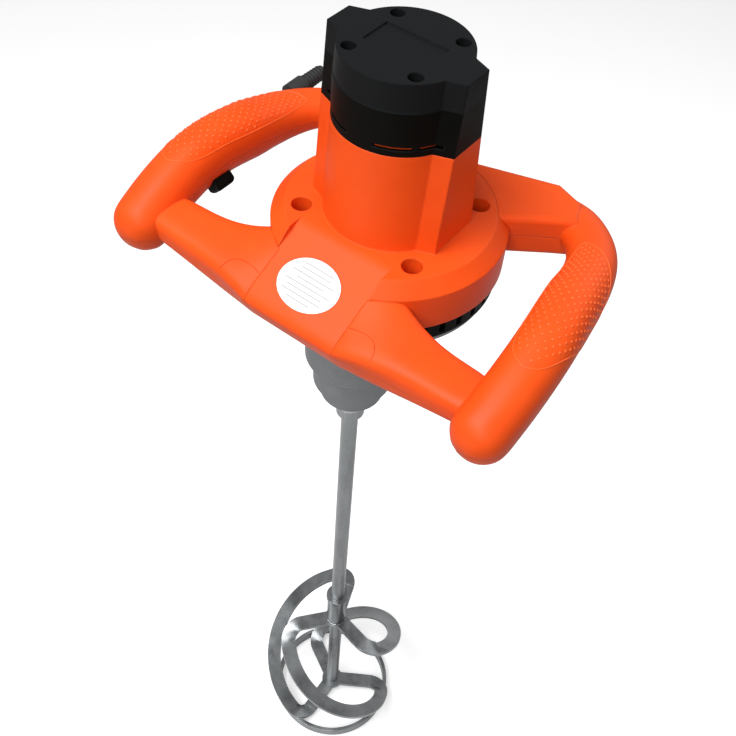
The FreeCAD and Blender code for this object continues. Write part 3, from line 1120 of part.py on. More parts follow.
def paddle():
    """The mixing paddle: shank and rod, hub, arms, three helical ribbons, spokes and the bottom hoop."""
    rod = fuse("paddle_rod_solid", [
        cylinder("shank_thread", SPINDLE_AXIS, "shank_top - shank_lap", "thread_radius - seat_fit",
                 "spindle_low + thread_depth - thread_end_gap - shank_top + shank_lap"),
        cylinder("shank_collar", SPINDLE_AXIS, "shank_top - shank_height", "shank_radius", "shank_height"),
        cone("shank_cone", SPINDLE_AXIS, "shank_top - shank_height - shank_taper", "rod_radius",
             "shank_radius", "shank_taper"),
        cylinder("rod_bar", SPINDLE_AXIS, "hoop_top - hoop_height", "rod_radius",
                 "shank_top - shank_height - shank_taper - hoop_top + hoop_height"),
    ])
    node("paddle_rod", rod)
    bore = "rod_radius + seat_fit"
    hub_low = "(arm_level + strip_thickness / 2)"
    hub = cut("paddle_hub_solid", fuse("paddle_hub_blank", [
        cylinder("hub_sleeve", SPINDLE_AXIS, hub_low, "hub_radius", f"hub_top - {hub_low}"),
        cylinder("hub_top_rim", SPINDLE_AXIS, "hub_top - hub_rim_height", "hub_rim", "hub_rim_height"),
    ]), [cylinder("hub_bore", SPINDLE_AXIS, hub_low, bore, f"hub_top - {hub_low}")])
    node("paddle_hub", hub)

    def spider(name, level, reach, first_angle):
        low = f"({level} - strip_thickness / 2)"
        items = [cylinder(f"{name}_ring", SPINDLE_AXIS, low, "ring_radius", "strip_thickness")]
        for index in range(RIBBONS):
            bar = bind(doc.addObject("Part::Box", f"{name}_bar"), Length=reach, Width="ribbon_width",
                       Height="strip_thickness")
            angle = size("ribbon_start") + first_angle + 360 * index / RIBBONS
            bar.Placement.Rotation = FreeCAD.Rotation(Vector(0, 0, 1), angle)
            corner = (f"ribbon_width / 2 * sin({angle} deg)", f"-ribbon_width / 2 * cos({angle} deg)")
            items.append(move(bar, corner, low))
        blank = fuse(f"{name}_blank", items)
        hole = cylinder(f"{name}_bore", SPINDLE_AXIS, low, bore, "strip_thickness")
        return cut(f"{name}_solid", blank, [hole])

    setback = "ribbon_width / 2 - ribbon_corner"
    node("paddle_arms", spider("arms", "arm_level", f"ribbon_top_radius - {setback}", 0))
    node("paddle_spokes", spider("spokes", "spoke_level", f"paddle_radius - {setback}", size("ribbon_sweep")))
    hoop = node("paddle_hoop", ring("hoop_solid", SPINDLE_AXIS, "hoop_top - hoop_height", "paddle_radius",
                                    "paddle_radius - hoop_thickness", "hoop_height"))
    doc.recompute()
    for index in range(RIBBONS):
        blade = ribbon(math.radians(size("ribbon_start") + 360 * index / RIBBONS)).cut(hoop.Shape)
        blade = max(blade.Solids, key=lambda solid: solid.Volume)
        node(f"paddle_ribbon_{index + 1}", shaped(f"ribbon_{index + 1}_solid", blade))


def bend(first, first_way, last, last_way):
    """Points of a rounded corner in plan between two places with given ways, without the last place."""
    pull = size("ribbon_corner") * CORNER_PULL
    near = first + first_way * pull
    far = last - last_way * pull
    points = []
    for step in range(CORNER_STEPS):
        t = step / CORNER_STEPS
        s = 1 - t
        points.append(first * s ** 3 + near * (3 * s ** 2 * t) + far * (3 * s * t ** 2) + last * t ** 3)
    return points


def ribbon_plan(first_angle):
    """The middle line of one ribbon in plan: out of its arm, round the paddle, and in to its spoke."""
    sweep = math.radians(size("ribbon_sweep"))
    corner = size("ribbon_corner")

    def middle(share):
        outer = size("ribbon_top_radius") * (1 - share) + size("paddle_radius") * share
        outer += size("ribbon_bulge") * math.sin(math.pi * share)
        angle = first_angle + sweep * share
        return Vector(math.cos(angle), math.sin(angle), 0) * (outer - size("ribbon_width") / 2)

    def way(share):
        heading = middle(share + TANGENT_STEP) - middle(share - TANGENT_STEP)
        return heading.normalize()

    outward = middle(0).normalize()
    inward = (middle(1) * -1).normalize()
    after = corner / (middle(0).Length * sweep)
    before = 1 - corner / (middle(1).Length * sweep)
    points = bend(middle(0) - outward * corner, outward, middle(after), way(after))
    for step in range(RIBBON_STEPS):
        points.append(middle(after + (before - after) * step / RIBBON_STEPS))
    points += bend(middle(before), way(before), middle(1) + inward * corner, inward)
    points.append(middle(1) + inward * corner)
    return points


def ribbon(first_angle):
    """One ribbon: a flat strip that leaves its arm in a rounded corner, winds down and joins its spoke."""
    plan = ribbon_plan(first_angle)
    lengths = [0]
    for point, after in zip(plan, plan[1:]):
        lengths.append(lengths[-1] + (after - point).Length)
    ease = size("ribbon_ease")
    drop = size("arm_level") - size("spoke_level")

    def level(share):
        if share < ease:
            done = share ** 2 / (2 * ease)
        elif share > 1 - ease:
            done = 1 - ease - (1 - share) ** 2 / (2 * ease)
        else:
            done = share - ease / 2
        return size("arm_level") - drop * done / (1 - ease)

    line = [point + Vector(0, 0, level(length / lengths[-1])) for point, length in zip(plan, lengths)]
    last_angle = first_angle + math.radians(size("ribbon_sweep"))
    ways = [Vector(math.cos(first_angle), math.sin(first_angle), 0)]
    ways += [after - before for before, after in zip(line, line[2:])]
    ways.append(Vector(-math.cos(last_angle), -math.sin(last_angle), 0))
    wires = []
    for point, way in zip(line, ways):
        along = way.normalize()
        across = Vector(0, 0, 1).cross(along).normalize() * (size("ribbon_width") / 2)
        normal = along.cross(across).normalize() * (size("strip_thickness") / 2)
        corners = [point - across - normal, point + across - normal, point + across + normal,
                   point - across + normal]
        wires.append(Part.makePolygon(corners + corners[:1]))
    return Part.makeLoft(wires, True, False)


def write_parts():
    """Check every object and write each sub-part to its own file."""
    doc.recompute()
    failed = [item.Label for item in doc.Objects if "Invalid" in item.State or "Error" in item.State]
    if failed:
        raise RuntimeError(f"objects failed: {failed}")
    os.makedirs("parts", exist_ok=True)
    for item in nodes:
        shape = item.Shape
        if shape.isNull() or not shape.isValid():
            raise RuntimeError(f"{item.Label} has no valid shape")
        shape.exportStep(os.path.join("parts", f"{item.Label}.step"))


gear_train()
bearings()
gear_case()
armature_and_stator()
motor_cap()
motor_housing()
vent_ring()
label_plate()
handles()
controls()
paddle()
write_parts()
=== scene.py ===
"""Looks of the mixing drill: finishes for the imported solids, moulded detail, weld beads, light and camera."""
import json
import logging
import math
from dataclasses import dataclass, field
from enum import Enum
from typing import Any, Optional

import bpy
import numpy as np
from mathutils import Matrix, Vector

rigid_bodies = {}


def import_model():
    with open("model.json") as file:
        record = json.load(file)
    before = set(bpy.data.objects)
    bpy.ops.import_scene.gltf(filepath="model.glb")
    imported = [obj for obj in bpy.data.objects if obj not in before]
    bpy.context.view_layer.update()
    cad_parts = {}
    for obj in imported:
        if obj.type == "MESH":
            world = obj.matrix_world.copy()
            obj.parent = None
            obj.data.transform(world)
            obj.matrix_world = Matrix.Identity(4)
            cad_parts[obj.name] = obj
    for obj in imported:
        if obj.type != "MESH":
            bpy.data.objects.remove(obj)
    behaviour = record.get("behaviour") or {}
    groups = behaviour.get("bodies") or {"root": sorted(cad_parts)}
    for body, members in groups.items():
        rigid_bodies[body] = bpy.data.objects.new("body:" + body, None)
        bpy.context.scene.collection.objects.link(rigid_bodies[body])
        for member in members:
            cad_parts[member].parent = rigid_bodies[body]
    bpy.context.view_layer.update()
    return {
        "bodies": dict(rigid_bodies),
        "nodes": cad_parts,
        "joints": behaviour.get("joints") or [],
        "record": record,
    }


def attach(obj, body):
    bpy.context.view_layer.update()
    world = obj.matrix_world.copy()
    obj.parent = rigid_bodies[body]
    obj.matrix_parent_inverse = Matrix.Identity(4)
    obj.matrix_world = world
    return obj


LOG = logging.getLogger("mixing_drill")
MM = 0.001
# The sRGB curve: a straight line up to the knee, then a shifted power.
SRGB_KNEE = 0.04045
SRGB_SLOPE = 12.92
SRGB_SHIFT = 0.055
SRGB_POWER = 2.4
# How fine the noise of the two patterns is, and the part of its range that the colours and the gloss use.
MOTTLE_DETAIL = 6.0
MOTTLE_ROUGHNESS = 0.62
MOTTLE_SPAN = (0.3, 0.7)
GRAIN_DETAIL = 3.0
GRAIN_SPAN = (0.25, 0.75)
# Cosines between the rounded and the true normal where wear starts and where it is full.
EDGE_SPAN = (0.99, 0.8)
EDGE_SAMPLES = 4
# A triangle with less area than this in plan, in square metres, stands upright.
UPRIGHT_AREA = 1e-14
# A path whose direction has more than this upward needs another reference for its profile.
STEEP = 0.9
# The share of the radius that a tube's drawn-in end keeps.
END_SHARE = 0.3


class Body(Enum):
    """The rigid bodies that pieces ride on."""

    HOUSING = "housing"
    SPINDLE = "spindle"


class Side(Enum):
    """The two sides of the tool, with the sign of x on each."""

    RIGHT = 1.0
    LEFT = -1.0


def linear(code: str) -> tuple[float, float, float, float]:
    """Turn an sRGB hex colour into the linear colour that a shader takes.

    Args:
        code: six hex digits after a hash sign.

    Returns:
        Linear red, green, blue and an alpha of one.
    """
    channels = np.array([int(code[at:at + 2], 16) for at in (1, 3, 5)]) / 255.0
    low = channels / SRGB_SLOPE
    high = ((channels + SRGB_SHIFT) / (1.0 + SRGB_SHIFT)) ** SRGB_POWER
    red, green, blue = np.where(channels <= SRGB_KNEE, low, high)
    return (float(red), float(green), float(blue), 1.0)


def add(tree: bpy.types.NodeTree, kind: str, inputs: Optional[dict[Any, Any]] = None,
        **settings: Any) -> Any:
    """Add a node, set its properties, and fill or link its inputs.

    Args:
        tree: the node tree.
        kind: the node's type name.
        inputs: values or output sockets by input name or number.
        settings: properties of the node.

    Returns:
        The new node.
    """
    node = tree.nodes.new(kind)
    for name, value in settings.items():
        setattr(node, name, value)
    for key, value in (inputs or {}).items():
        if isinstance(value, bpy.types.NodeSocket):
            tree.links.new(value, node.inputs[key])
        else:
            node.inputs[key].default_value = value
    return node


def fresh_tree(owner: Any) -> bpy.types.NodeTree:
    """Give a material or a world an empty node tree."""
    owner.use_nodes = True
    owner.node_tree.nodes.clear()
    return owner.node_tree


@dataclass(frozen=True)
class Finish:
    """One real material and how its surface was made.

    Sizes are millimetres. The mottle is a slow change of colour and gloss, and the grain is the fine relief.
    The edge is the small radius that a real edge has, where handling also lightens it. A finish with a band
    has the band's colour above the band's level.
    """

    name: str
    colour: str
    shade: str
    worn: str
    roughness: float
    roughness_spread: float = 0.12
    metallic: float = 0.0
    ior: float = 1.5
    mottle: float = 40.0
    grain: float = 0.9
    grain_depth: float = 0.03
    stretch: tuple[float, float, float] = (1.0, 1.0, 1.0)
    edge: float = 1.0
    wear: float = 0.5
    specks: float = 0.0
    specular: float = 0.5
    band: str = ""
    band_level: float = 0.0

    def patterns(self, tree: bpy.types.NodeTree, place: Any) -> tuple[Any, Any]:
        """Add the slow mottle and the fine grain.

        Args:
            tree: the material's node tree.
            place: the socket with the place on the object.

        Returns:
            The sockets of the mottle and of the grain.
        """
        mapped = add(tree, "ShaderNodeMapping", {"Vector": place, "Scale": self.stretch}).outputs["Vector"]
        mottle = add(tree, "ShaderNodeTexNoise", {
            "Vector": mapped, "Scale": 1.0 / (self.mottle * MM), "Detail": MOTTLE_DETAIL,
            "Roughness": MOTTLE_ROUGHNESS})
        grain = add(tree, "ShaderNodeTexNoise", {
            "Vector": mapped, "Scale": 1.0 / (self.grain * MM), "Detail": GRAIN_DETAIL})
        return mottle.outputs["Fac"], grain.outputs["Fac"]

    def base_colour(self, tree: bpy.types.NodeTree, mottle: Any, grain: Any) -> Any:
        """Mix the two tones by the mottle, and darken the low grain by the specks.

        Args:
            tree: the material's node tree.
            mottle: the mottle's socket.
            grain: the grain's socket.

        Returns:
            The colour's socket.
        """
        blend = add(tree, "ShaderNodeMapRange", {
            "Value": mottle, "From Min": MOTTLE_SPAN[0], "From Max": MOTTLE_SPAN[1]})
        base = add(tree, "ShaderNodeMix", {
            "Factor": blend.outputs["Result"], "A": linear(self.shade), "B": linear(self.colour)},
            data_type="RGBA")
        fine = add(tree, "ShaderNodeMapRange", {
            "Value": grain, "From Min": GRAIN_SPAN[0], "From Max": GRAIN_SPAN[1],
            "To Min": 1.0 - self.specks, "To Max": 1.0})
        toned = add(tree, "ShaderNodeMix", {
            "Factor": 1.0, "A": base.outputs["Result"], "B": fine.outputs["Result"]},
            data_type="RGBA", blend_type="MULTIPLY")
        return toned.outputs["Result"]

    def worn_colour(self, tree: bpy.types.NodeTree, colour: Any, mottle: Any, rounded: Any) -> Any:
        """Lighten the edges in patches, where the rounded normal leaves the true one.

        Args:
            tree: the material's node tree.
            colour: the socket of the colour without wear.
            mottle: the mottle's socket.
            rounded: the socket of the rounded normal.

        Returns:
            The colour's socket.
        """
        true_normal = add(tree, "ShaderNodeNewGeometry").outputs["Normal"]
        facing = add(tree, "ShaderNodeVectorMath", {0: rounded, 1: true_normal}, operation="DOT_PRODUCT")
        turned = add(tree, "ShaderNodeMapRange", {
            "Value": facing.outputs["Value"], "From Min": EDGE_SPAN[0], "From Max": EDGE_SPAN[1],
            "To Min": 0.0, "To Max": self.wear})
        patchy = add(tree, "ShaderNodeMath", {0: turned.outputs["Result"], 1: mottle}, operation="MULTIPLY")
        worn = add(tree, "ShaderNodeMix", {
            "Factor": patchy.outputs["Value"], "A": colour, "B": linear(self.worn)}, data_type="RGBA")
        return worn.outputs["Result"]

    def banded(self, tree: bpy.types.NodeTree, colour: Any, place: Any) -> Any:
        """Put the band's colour above the band's level, and give the colour's socket."""
        height = add(tree, "ShaderNodeSeparateXYZ", {"Vector": place}).outputs["Z"]
        above = add(tree, "ShaderNodeMath", {0: height, 1: self.band_level * MM}, operation="GREATER_THAN")
        mixed = add(tree, "ShaderNodeMix", {
            "Factor": above.outputs["Value"], "A": colour, "B": linear(self.band)}, data_type="RGBA")
        return mixed.outputs["Result"]

    def build(self) -> bpy.types.Material:
        """Make the material.

        Returns:
            A material whose patterns read object coordinates in metres.
        """
        material = bpy.data.materials.new(self.name)
        tree = fresh_tree(material)
        place = add(tree, "ShaderNodeTexCoord").outputs["Object"]
        mottle, grain = self.patterns(tree, place)
        bevel = add(tree, "ShaderNodeBevel", {"Radius": self.edge * MM}, samples=EDGE_SAMPLES)
        rounded = bevel.outputs["Normal"]
        colour = self.worn_colour(tree, self.base_colour(tree, mottle, grain), mottle, rounded)
        if self.band:
            colour = self.banded(tree, colour, place)
        gloss = add(tree, "ShaderNodeMapRange", {
            "Value": mottle, "From Min": MOTTLE_SPAN[0], "From Max": MOTTLE_SPAN[1],
            "To Min": self.roughness - self.roughness_spread / 2,
            "To Max": self.roughness + self.roughness_spread / 2})
        relief = add(tree, "ShaderNodeBump", {
            "Strength": 1.0, "Distance": self.grain_depth * MM, "Height": grain, "Normal": rounded})
        shader = add(tree, "ShaderNodeBsdfPrincipled", {
            "Base Color": colour, "Roughness": gloss.outputs["Result"], "Metallic": self.metallic,
            "IOR": self.ior, "Specular IOR Level": self.specular, "Normal": relief.outputs["Normal"]})
        add(tree, "ShaderNodeOutputMaterial", {"Surface": shader.outputs["BSDF"]})
        return material


class Finishes:
    """Every finish on the tool, made once and kept by the material slot that it dresses."""

    # Glass-filled nylon, moulded and dyed through: satin, a little lighter where hands rub the edges.
    ORANGE = Finish("orange_moulded_nylon", "#EE5518", "#E64C12", "#FF7C42", 0.47, mottle=60.0, grain=0.7,
                    grain_depth=0.018, edge=1.8, wear=0.35, specks=0.04, specular=0.17)
    # Raised dots and lines of the grips, painted lighter than the orange as a painted highlight on their small
    # domes, and lighter still at their worn edges.
    DOTS_PAINTED_HIGHLIGHT = Finish("orange_nylon_painted_highlight", "#F76A2E", "#EE6024", "#FF8E58", 0.42, mottle=40.0, grain=0.7,
                    grain_depth=0.01, edge=0.15, wear=0.3, specks=0.04, specular=0.3)
    # The same nylon in black with a spark-eroded skin: dull, with grey rubbed edges.
    BLACK = Finish("black_eroded_nylon", "#0D0E0C", "#080907", "#2A2C2E", 0.46, mottle=30.0, grain=0.6,
                   grain_depth=0.04, edge=1.4, wear=0.6, specks=0.12, specular=0.03)
    # The cap's upper band is painted slate grey as a painted sheen where it catches the light, and the wall
    # below it is the same dull black.
    CAP_PAINTED_SHEEN = Finish("black_nylon_painted_sheen", "#0D0E0C", "#080907", "#34363B", 0.46, mottle=30.0, grain=0.6,
                 grain_depth=0.04, edge=1.4, wear=0.6, specks=0.12, specular=0.03, band="#18191A",
                 band_level=280.0)
    # Plain grey moulding of the switch and the electronics, which is only seen with the shells open.
    GREY = Finish("grey_moulded_abs", "#55585B", "#4C4F52", "#7A7D80", 0.45)
    # Pressure-cast aluminium, shot blasted: grey with a coarse sparkle and bright worn edges.
    CAST = Finish("blasted_cast_aluminium", "#85878A", "#757779", "#BEC1C3", 0.48, metallic=0.75, mottle=18.0,
                  grain=0.8, grain_depth=0.05, edge=0.9, wear=0.9, specks=0.18)
    # Bright drawn and welded mild steel of the paddle, with draw lines along its length.
    PADDLE = Finish("drawn_mild_steel", "#A0A3A5", "#75787A", "#DFE1E3", 0.3, roughness_spread=0.2,
                    metallic=0.95, mottle=26.0, grain=0.5, grain_depth=0.02, stretch=(1.0, 1.0, 0.25),
                    edge=0.7, wear=0.9, specks=0.2)
    # Ground steel of shafts, gears and bearings: bright, with hardly any grain.
    GROUND = Finish("ground_steel", "#B4B6B8", "#9FA1A4", "#E0E1E2", 0.26, metallic=1.0, mottle=12.0,
                    grain=0.4, grain_depth=0.01, edge=0.3, wear=0.5, specks=0.08)
    # Screws with a black oxide skin: dark, with bare metal at the edges.
    OXIDE = Finish("black_oxide_steel", "#3A3B3D", "#2C2D2F", "#77797C", 0.4, metallic=0.85, mottle=8.0,
                   grain=0.4, edge=0.3, wear=0.9)
    # Enamelled copper winding: a warm brown sheen with deep grain.
    COPPER = Finish("enamelled_copper", "#A85A32", "#8C4524", "#C98560", 0.35, metallic=0.9, mottle=6.0,
                    grain=0.8, grain_depth=0.1, edge=0.3)
    # Pressed brass sheet: yellow and fairly bright.
    BRASS = Finish("pressed_brass", "#C9A55B", "#B28F49", "#E3C98C", 0.32, metallic=1.0, mottle=10.0,
                   edge=0.3)
    # Carbon of the brushes: dull and nearly black.
    CARBON = Finish("carbon_graphite", "#2A2A2B", "#212122", "#3C3C3D", 0.6, mottle=5.0, edge=0.2)
    # Soft moulded rubber of the gland and the seal: dark and dull.
    RUBBER = Finish("moulded_rubber", "#1E1F20", "#18191A", "#3A3B3C", 0.65, mottle=14.0, grain=0.5,
                    grain_depth=0.03, edge=0.8, wear=0.4)
    # White polyester film of the bare label: smooth and a little glossy.
    FILM = Finish("white_polyester_film", "#F1F1EF", "#EAEAE7", "#FAFAFA", 0.3, mottle=25.0, grain=0.6,
                  grain_depth=0.004, edge=0.2, wear=0.1)
    # Grey ink of the plain rules on the label: flat and pale grey.
    INK = Finish("grey_printing_ink", "#9A9B9C", "#8C8D8E", "#A8A9AA", 0.45, mottle=4.0, grain=0.3,
                 grain_depth=0.002, edge=0.05, wear=0.0)
    BY_SLOT = {
        "orange_plastic": ORANGE, "black_plastic": BLACK, "grey_plastic": GREY, "cast_aluminium": CAST,
        "paddle_steel": PADDLE, "machined_steel": GROUND, "screw_steel": OXIDE, "copper": COPPER,
        "brass": BRASS, "carbon": CARBON, "black_rubber": RUBBER, "white_label": FILM,
    }

    def __init__(self) -> None:
        """Start with no material made."""
        self.made: dict[str, bpy.types.Material] = {}

    def get(self, finish: Finish) -> bpy.types.Material:
        """Give a finish's material, and make it the first time.

        Args:
            finish: the finish.

        Returns:
            Its material.
        """
        if finish.name not in self.made:
            self.made[finish.name] = finish.build()
        return self.made[finish.name]

    def dress_solids(self, frame: dict[str, Any]) -> None:
        """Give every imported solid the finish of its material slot.

        Args:
            frame: the loaded frame.
        """
        for part in frame["record"]["subparts"]:
            solid = frame["nodes"][part["node"]]
            solid.data.materials.clear()
            solid.data.materials.append(self.get(self.BY_SLOT[part["material_slot"]]))
        # The cap takes the finish whose upper band is painted lighter, a painted sheen.
        cap = frame["nodes"]["motor_cap"]
        cap.data.materials[0] = self.get(self.CAP_PAINTED_SHEEN)


def grid_faces(rows: int, columns: int, closed_rows: bool, closed_columns: bool) -> np.ndarray:
    """Number the four corners of every cell of a grid of points.

    Args:
        rows: points along the first parameter.
        columns: points along the second parameter.
        closed_rows: whether the last row joins the first.
        closed_columns: whether the last column joins the first.

    Returns:
        One row of four point numbers for each face.
    """
    row = np.arange(rows if closed_rows else rows - 1)[:, None]
    column = np.arange(columns if closed_columns else columns - 1)[None, :]
    after_row = (row + 1) % rows
    after_column = (column + 1) % columns
    corners = [row * columns + column, row * columns + after_column,
               after_row * columns + after_column, after_row * columns + column]
    return np.stack(np.broadcast_arrays(*corners), axis=-1).reshape(-1, 4)


def repeat_faces(faces: np.ndarray, copies: int, points: int) -> np.ndarray:
    """Number the faces of copies of a shape whose points follow one another.

    Args:
        faces: the faces of the first copy.
        copies: how many copies there are.
        points: how many points each copy has.

    Returns:
        The faces of all the copies.
    """
    start = np.arange(copies)[:, None, None] * points
    return (faces[None] + start).reshape(-1, faces.shape[1])


def full_turn(count: int) -> np.ndarray:
    """Evenly spaced angles once round, in radians, without the repeated last one."""
    return np.linspace(0.0, 2.0 * np.pi, count, endpoint=False)


def mesh_piece(name: str, points: np.ndarray, faces: np.ndarray, material: bpy.types.Material, body: Body,
               smooth: bool = True, caps: Optional[np.ndarray] = None) -> bpy.types.Object:
    """Put points and faces into a new piece that rides on a body.

    Args:
        name: the piece's name.
        points: an array of places in metres.
        faces: an array of point numbers, four to a face.
        material: its material.
        body: the body that it moves with.
        smooth: whether the faces are shaded smooth.
        caps: point numbers of faces with more corners, which close the ends.

    Returns:
        The new object.
    """
    mesh = bpy.data.meshes.new(name)
    ends = [] if caps is None else caps.tolist()
    mesh.from_pydata(points.reshape(-1, 3).tolist(), [], faces.tolist() + ends)
    mesh.materials.append(material)
    mesh.polygons.foreach_set("use_smooth", np.full(len(mesh.polygons), smooth))
    mesh.update()
    piece = bpy.data.objects.new(name, mesh)
    bpy.context.scene.collection.objects.link(piece)
    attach(piece, body.value)
    LOG.info("made %s with %d faces", name, len(mesh.polygons))
    return piece


def unit(vectors: np.ndarray) -> np.ndarray:
    """Scale vectors along the last axis to length one."""
    return vectors / np.linalg.norm(vectors, axis=-1, keepdims=True)


def spline(stations: np.ndarray, shares: np.ndarray) -> np.ndarray:
    """Points of a natural cubic spline through stations, with chord lengths as its parameter.

    Args:
        stations: places that the curve passes through.
        shares: parameters from 0 at the first station to 1 at the last.

    Returns:
        One point for each share.
    """
    steps = np.linalg.norm(np.diff(stations, axis=0), axis=1)
    knots = np.concatenate([[0.0], np.cumsum(steps)])
    count = len(stations)
    system = np.eye(count)
    right = np.zeros_like(stations)
    inner = np.arange(1, count - 1)
    system[inner, inner - 1] = steps[:-1]
    system[inner, inner] = 2.0 * (steps[:-1] + steps[1:])
    system[inner, inner + 1] = steps[1:]
    slopes = np.diff(stations, axis=0) / steps[:, None]
    right[inner] = 6.0 * np.diff(slopes, axis=0)
    bends = np.linalg.solve(system, right)
    place = shares * knots[-1]
    span = np.clip(np.searchsorted(knots, place, side="right") - 1, 0, count - 2)
    width = steps[span][:, None]
    before = (knots[span + 1] - place)[:, None]
    after = (place - knots[span])[:, None]
    return (bends[span] * before ** 3 / (6 * width) + bends[span + 1] * after ** 3 / (6 * width)
            + (stations[span] / width - bends[span] * width / 6) * before
            + (stations[span + 1] / width - bends[span + 1] * width / 6) * after)


def height_over(solid: bpy.types.Object, plan: np.ndarray) -> np.ndarray:
    """Height of a solid's top surface over places in plan.

    Every triangle is tried at once: a place lies in it where its three barycentric weights are all positive,
    and the weights then mix the corners' heights.

    Args:
        solid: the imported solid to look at.
        plan: x and y of each place, in metres.

    Returns:
        The greatest height at each place, and minus infinity where the solid is not met.
    """
    mesh = solid.data
    mesh.calc_loop_triangles()
    corners = np.empty(len(mesh.loop_triangles) * 3, dtype=np.int32)
    mesh.loop_triangles.foreach_get("vertices", corners)
    places = np.empty(len(mesh.vertices) * 3, dtype=np.float32)
    mesh.vertices.foreach_get("co", places)
    triangles = places.reshape(-1, 3)[corners.reshape(-1, 3)].astype(float)
    first, second, third = np.moveaxis(triangles, 1, 0)
    one, two = second - first, third - first
    area = one[:, 0] * two[:, 1] - one[:, 1] * two[:, 0]
    area = np.where(np.abs(area) < UPRIGHT_AREA, np.nan, area)
    away = plan[:, None] - first[None, :, :2]
    beta = (away[..., 0] * two[:, 1] - away[..., 1] * two[:, 0]) / area
    gamma = (one[:, 0] * away[..., 1] - one[:, 1] * away[..., 0]) / area
    inside = (beta >= 0) & (gamma >= 0) & (beta + gamma <= 1)
    height = first[:, 2] + beta * one[:, 2] + gamma * two[:, 2]
    return np.where(inside, height, -np.inf).max(axis=1)


def tube(path: np.ndarray, radius: np.ndarray, around: int = 8,
         ring: bool = False) -> tuple[np.ndarray, np.ndarray, np.ndarray]:
    """A round profile carried along a path, closed on itself or with both ends drawn in and capped.

    Each ring is centre + radius * (cos(a) * side - sin(a) * up), where side and up are square to the path.

    Args:
        path: points of the centre line, where a closed one doesn't repeat its first point.
        radius: the profile's radius at each point.
        around: points round the profile.
        ring: whether the path is closed.

    Returns:
        The grid of points, its faces and its end caps.
    """
    wide = np.vstack([path[-1:], path, path[:1]]) if ring else path
    along = unit(np.gradient(wide, axis=0))
    along = along[1:-1] if ring else along
    reference = np.where(np.abs(along[:, 2:3]) > STEEP, [[1.0, 0.0, 0.0]], [[0.0, 0.0, 1.0]])
    side = unit(np.cross(along, reference))
    up = np.cross(side, along)
    angle = full_turn(around)
    shrink = np.ones(len(path))
    shrink[[0, -1]] = 1.0 if ring else END_SHARE
    size = (radius * shrink)[:, None, None]
    points = path[:, None] + size * (np.cos(angle)[None, :, None] * side[:, None]
                                     - np.sin(angle)[None, :, None] * up[:, None])
    first = np.arange(around)
    ends = np.stack([first[::-1], first + (len(path) - 1) * around])
    return points, grid_faces(len(path), around, ring, True), ends[:0] if ring else ends


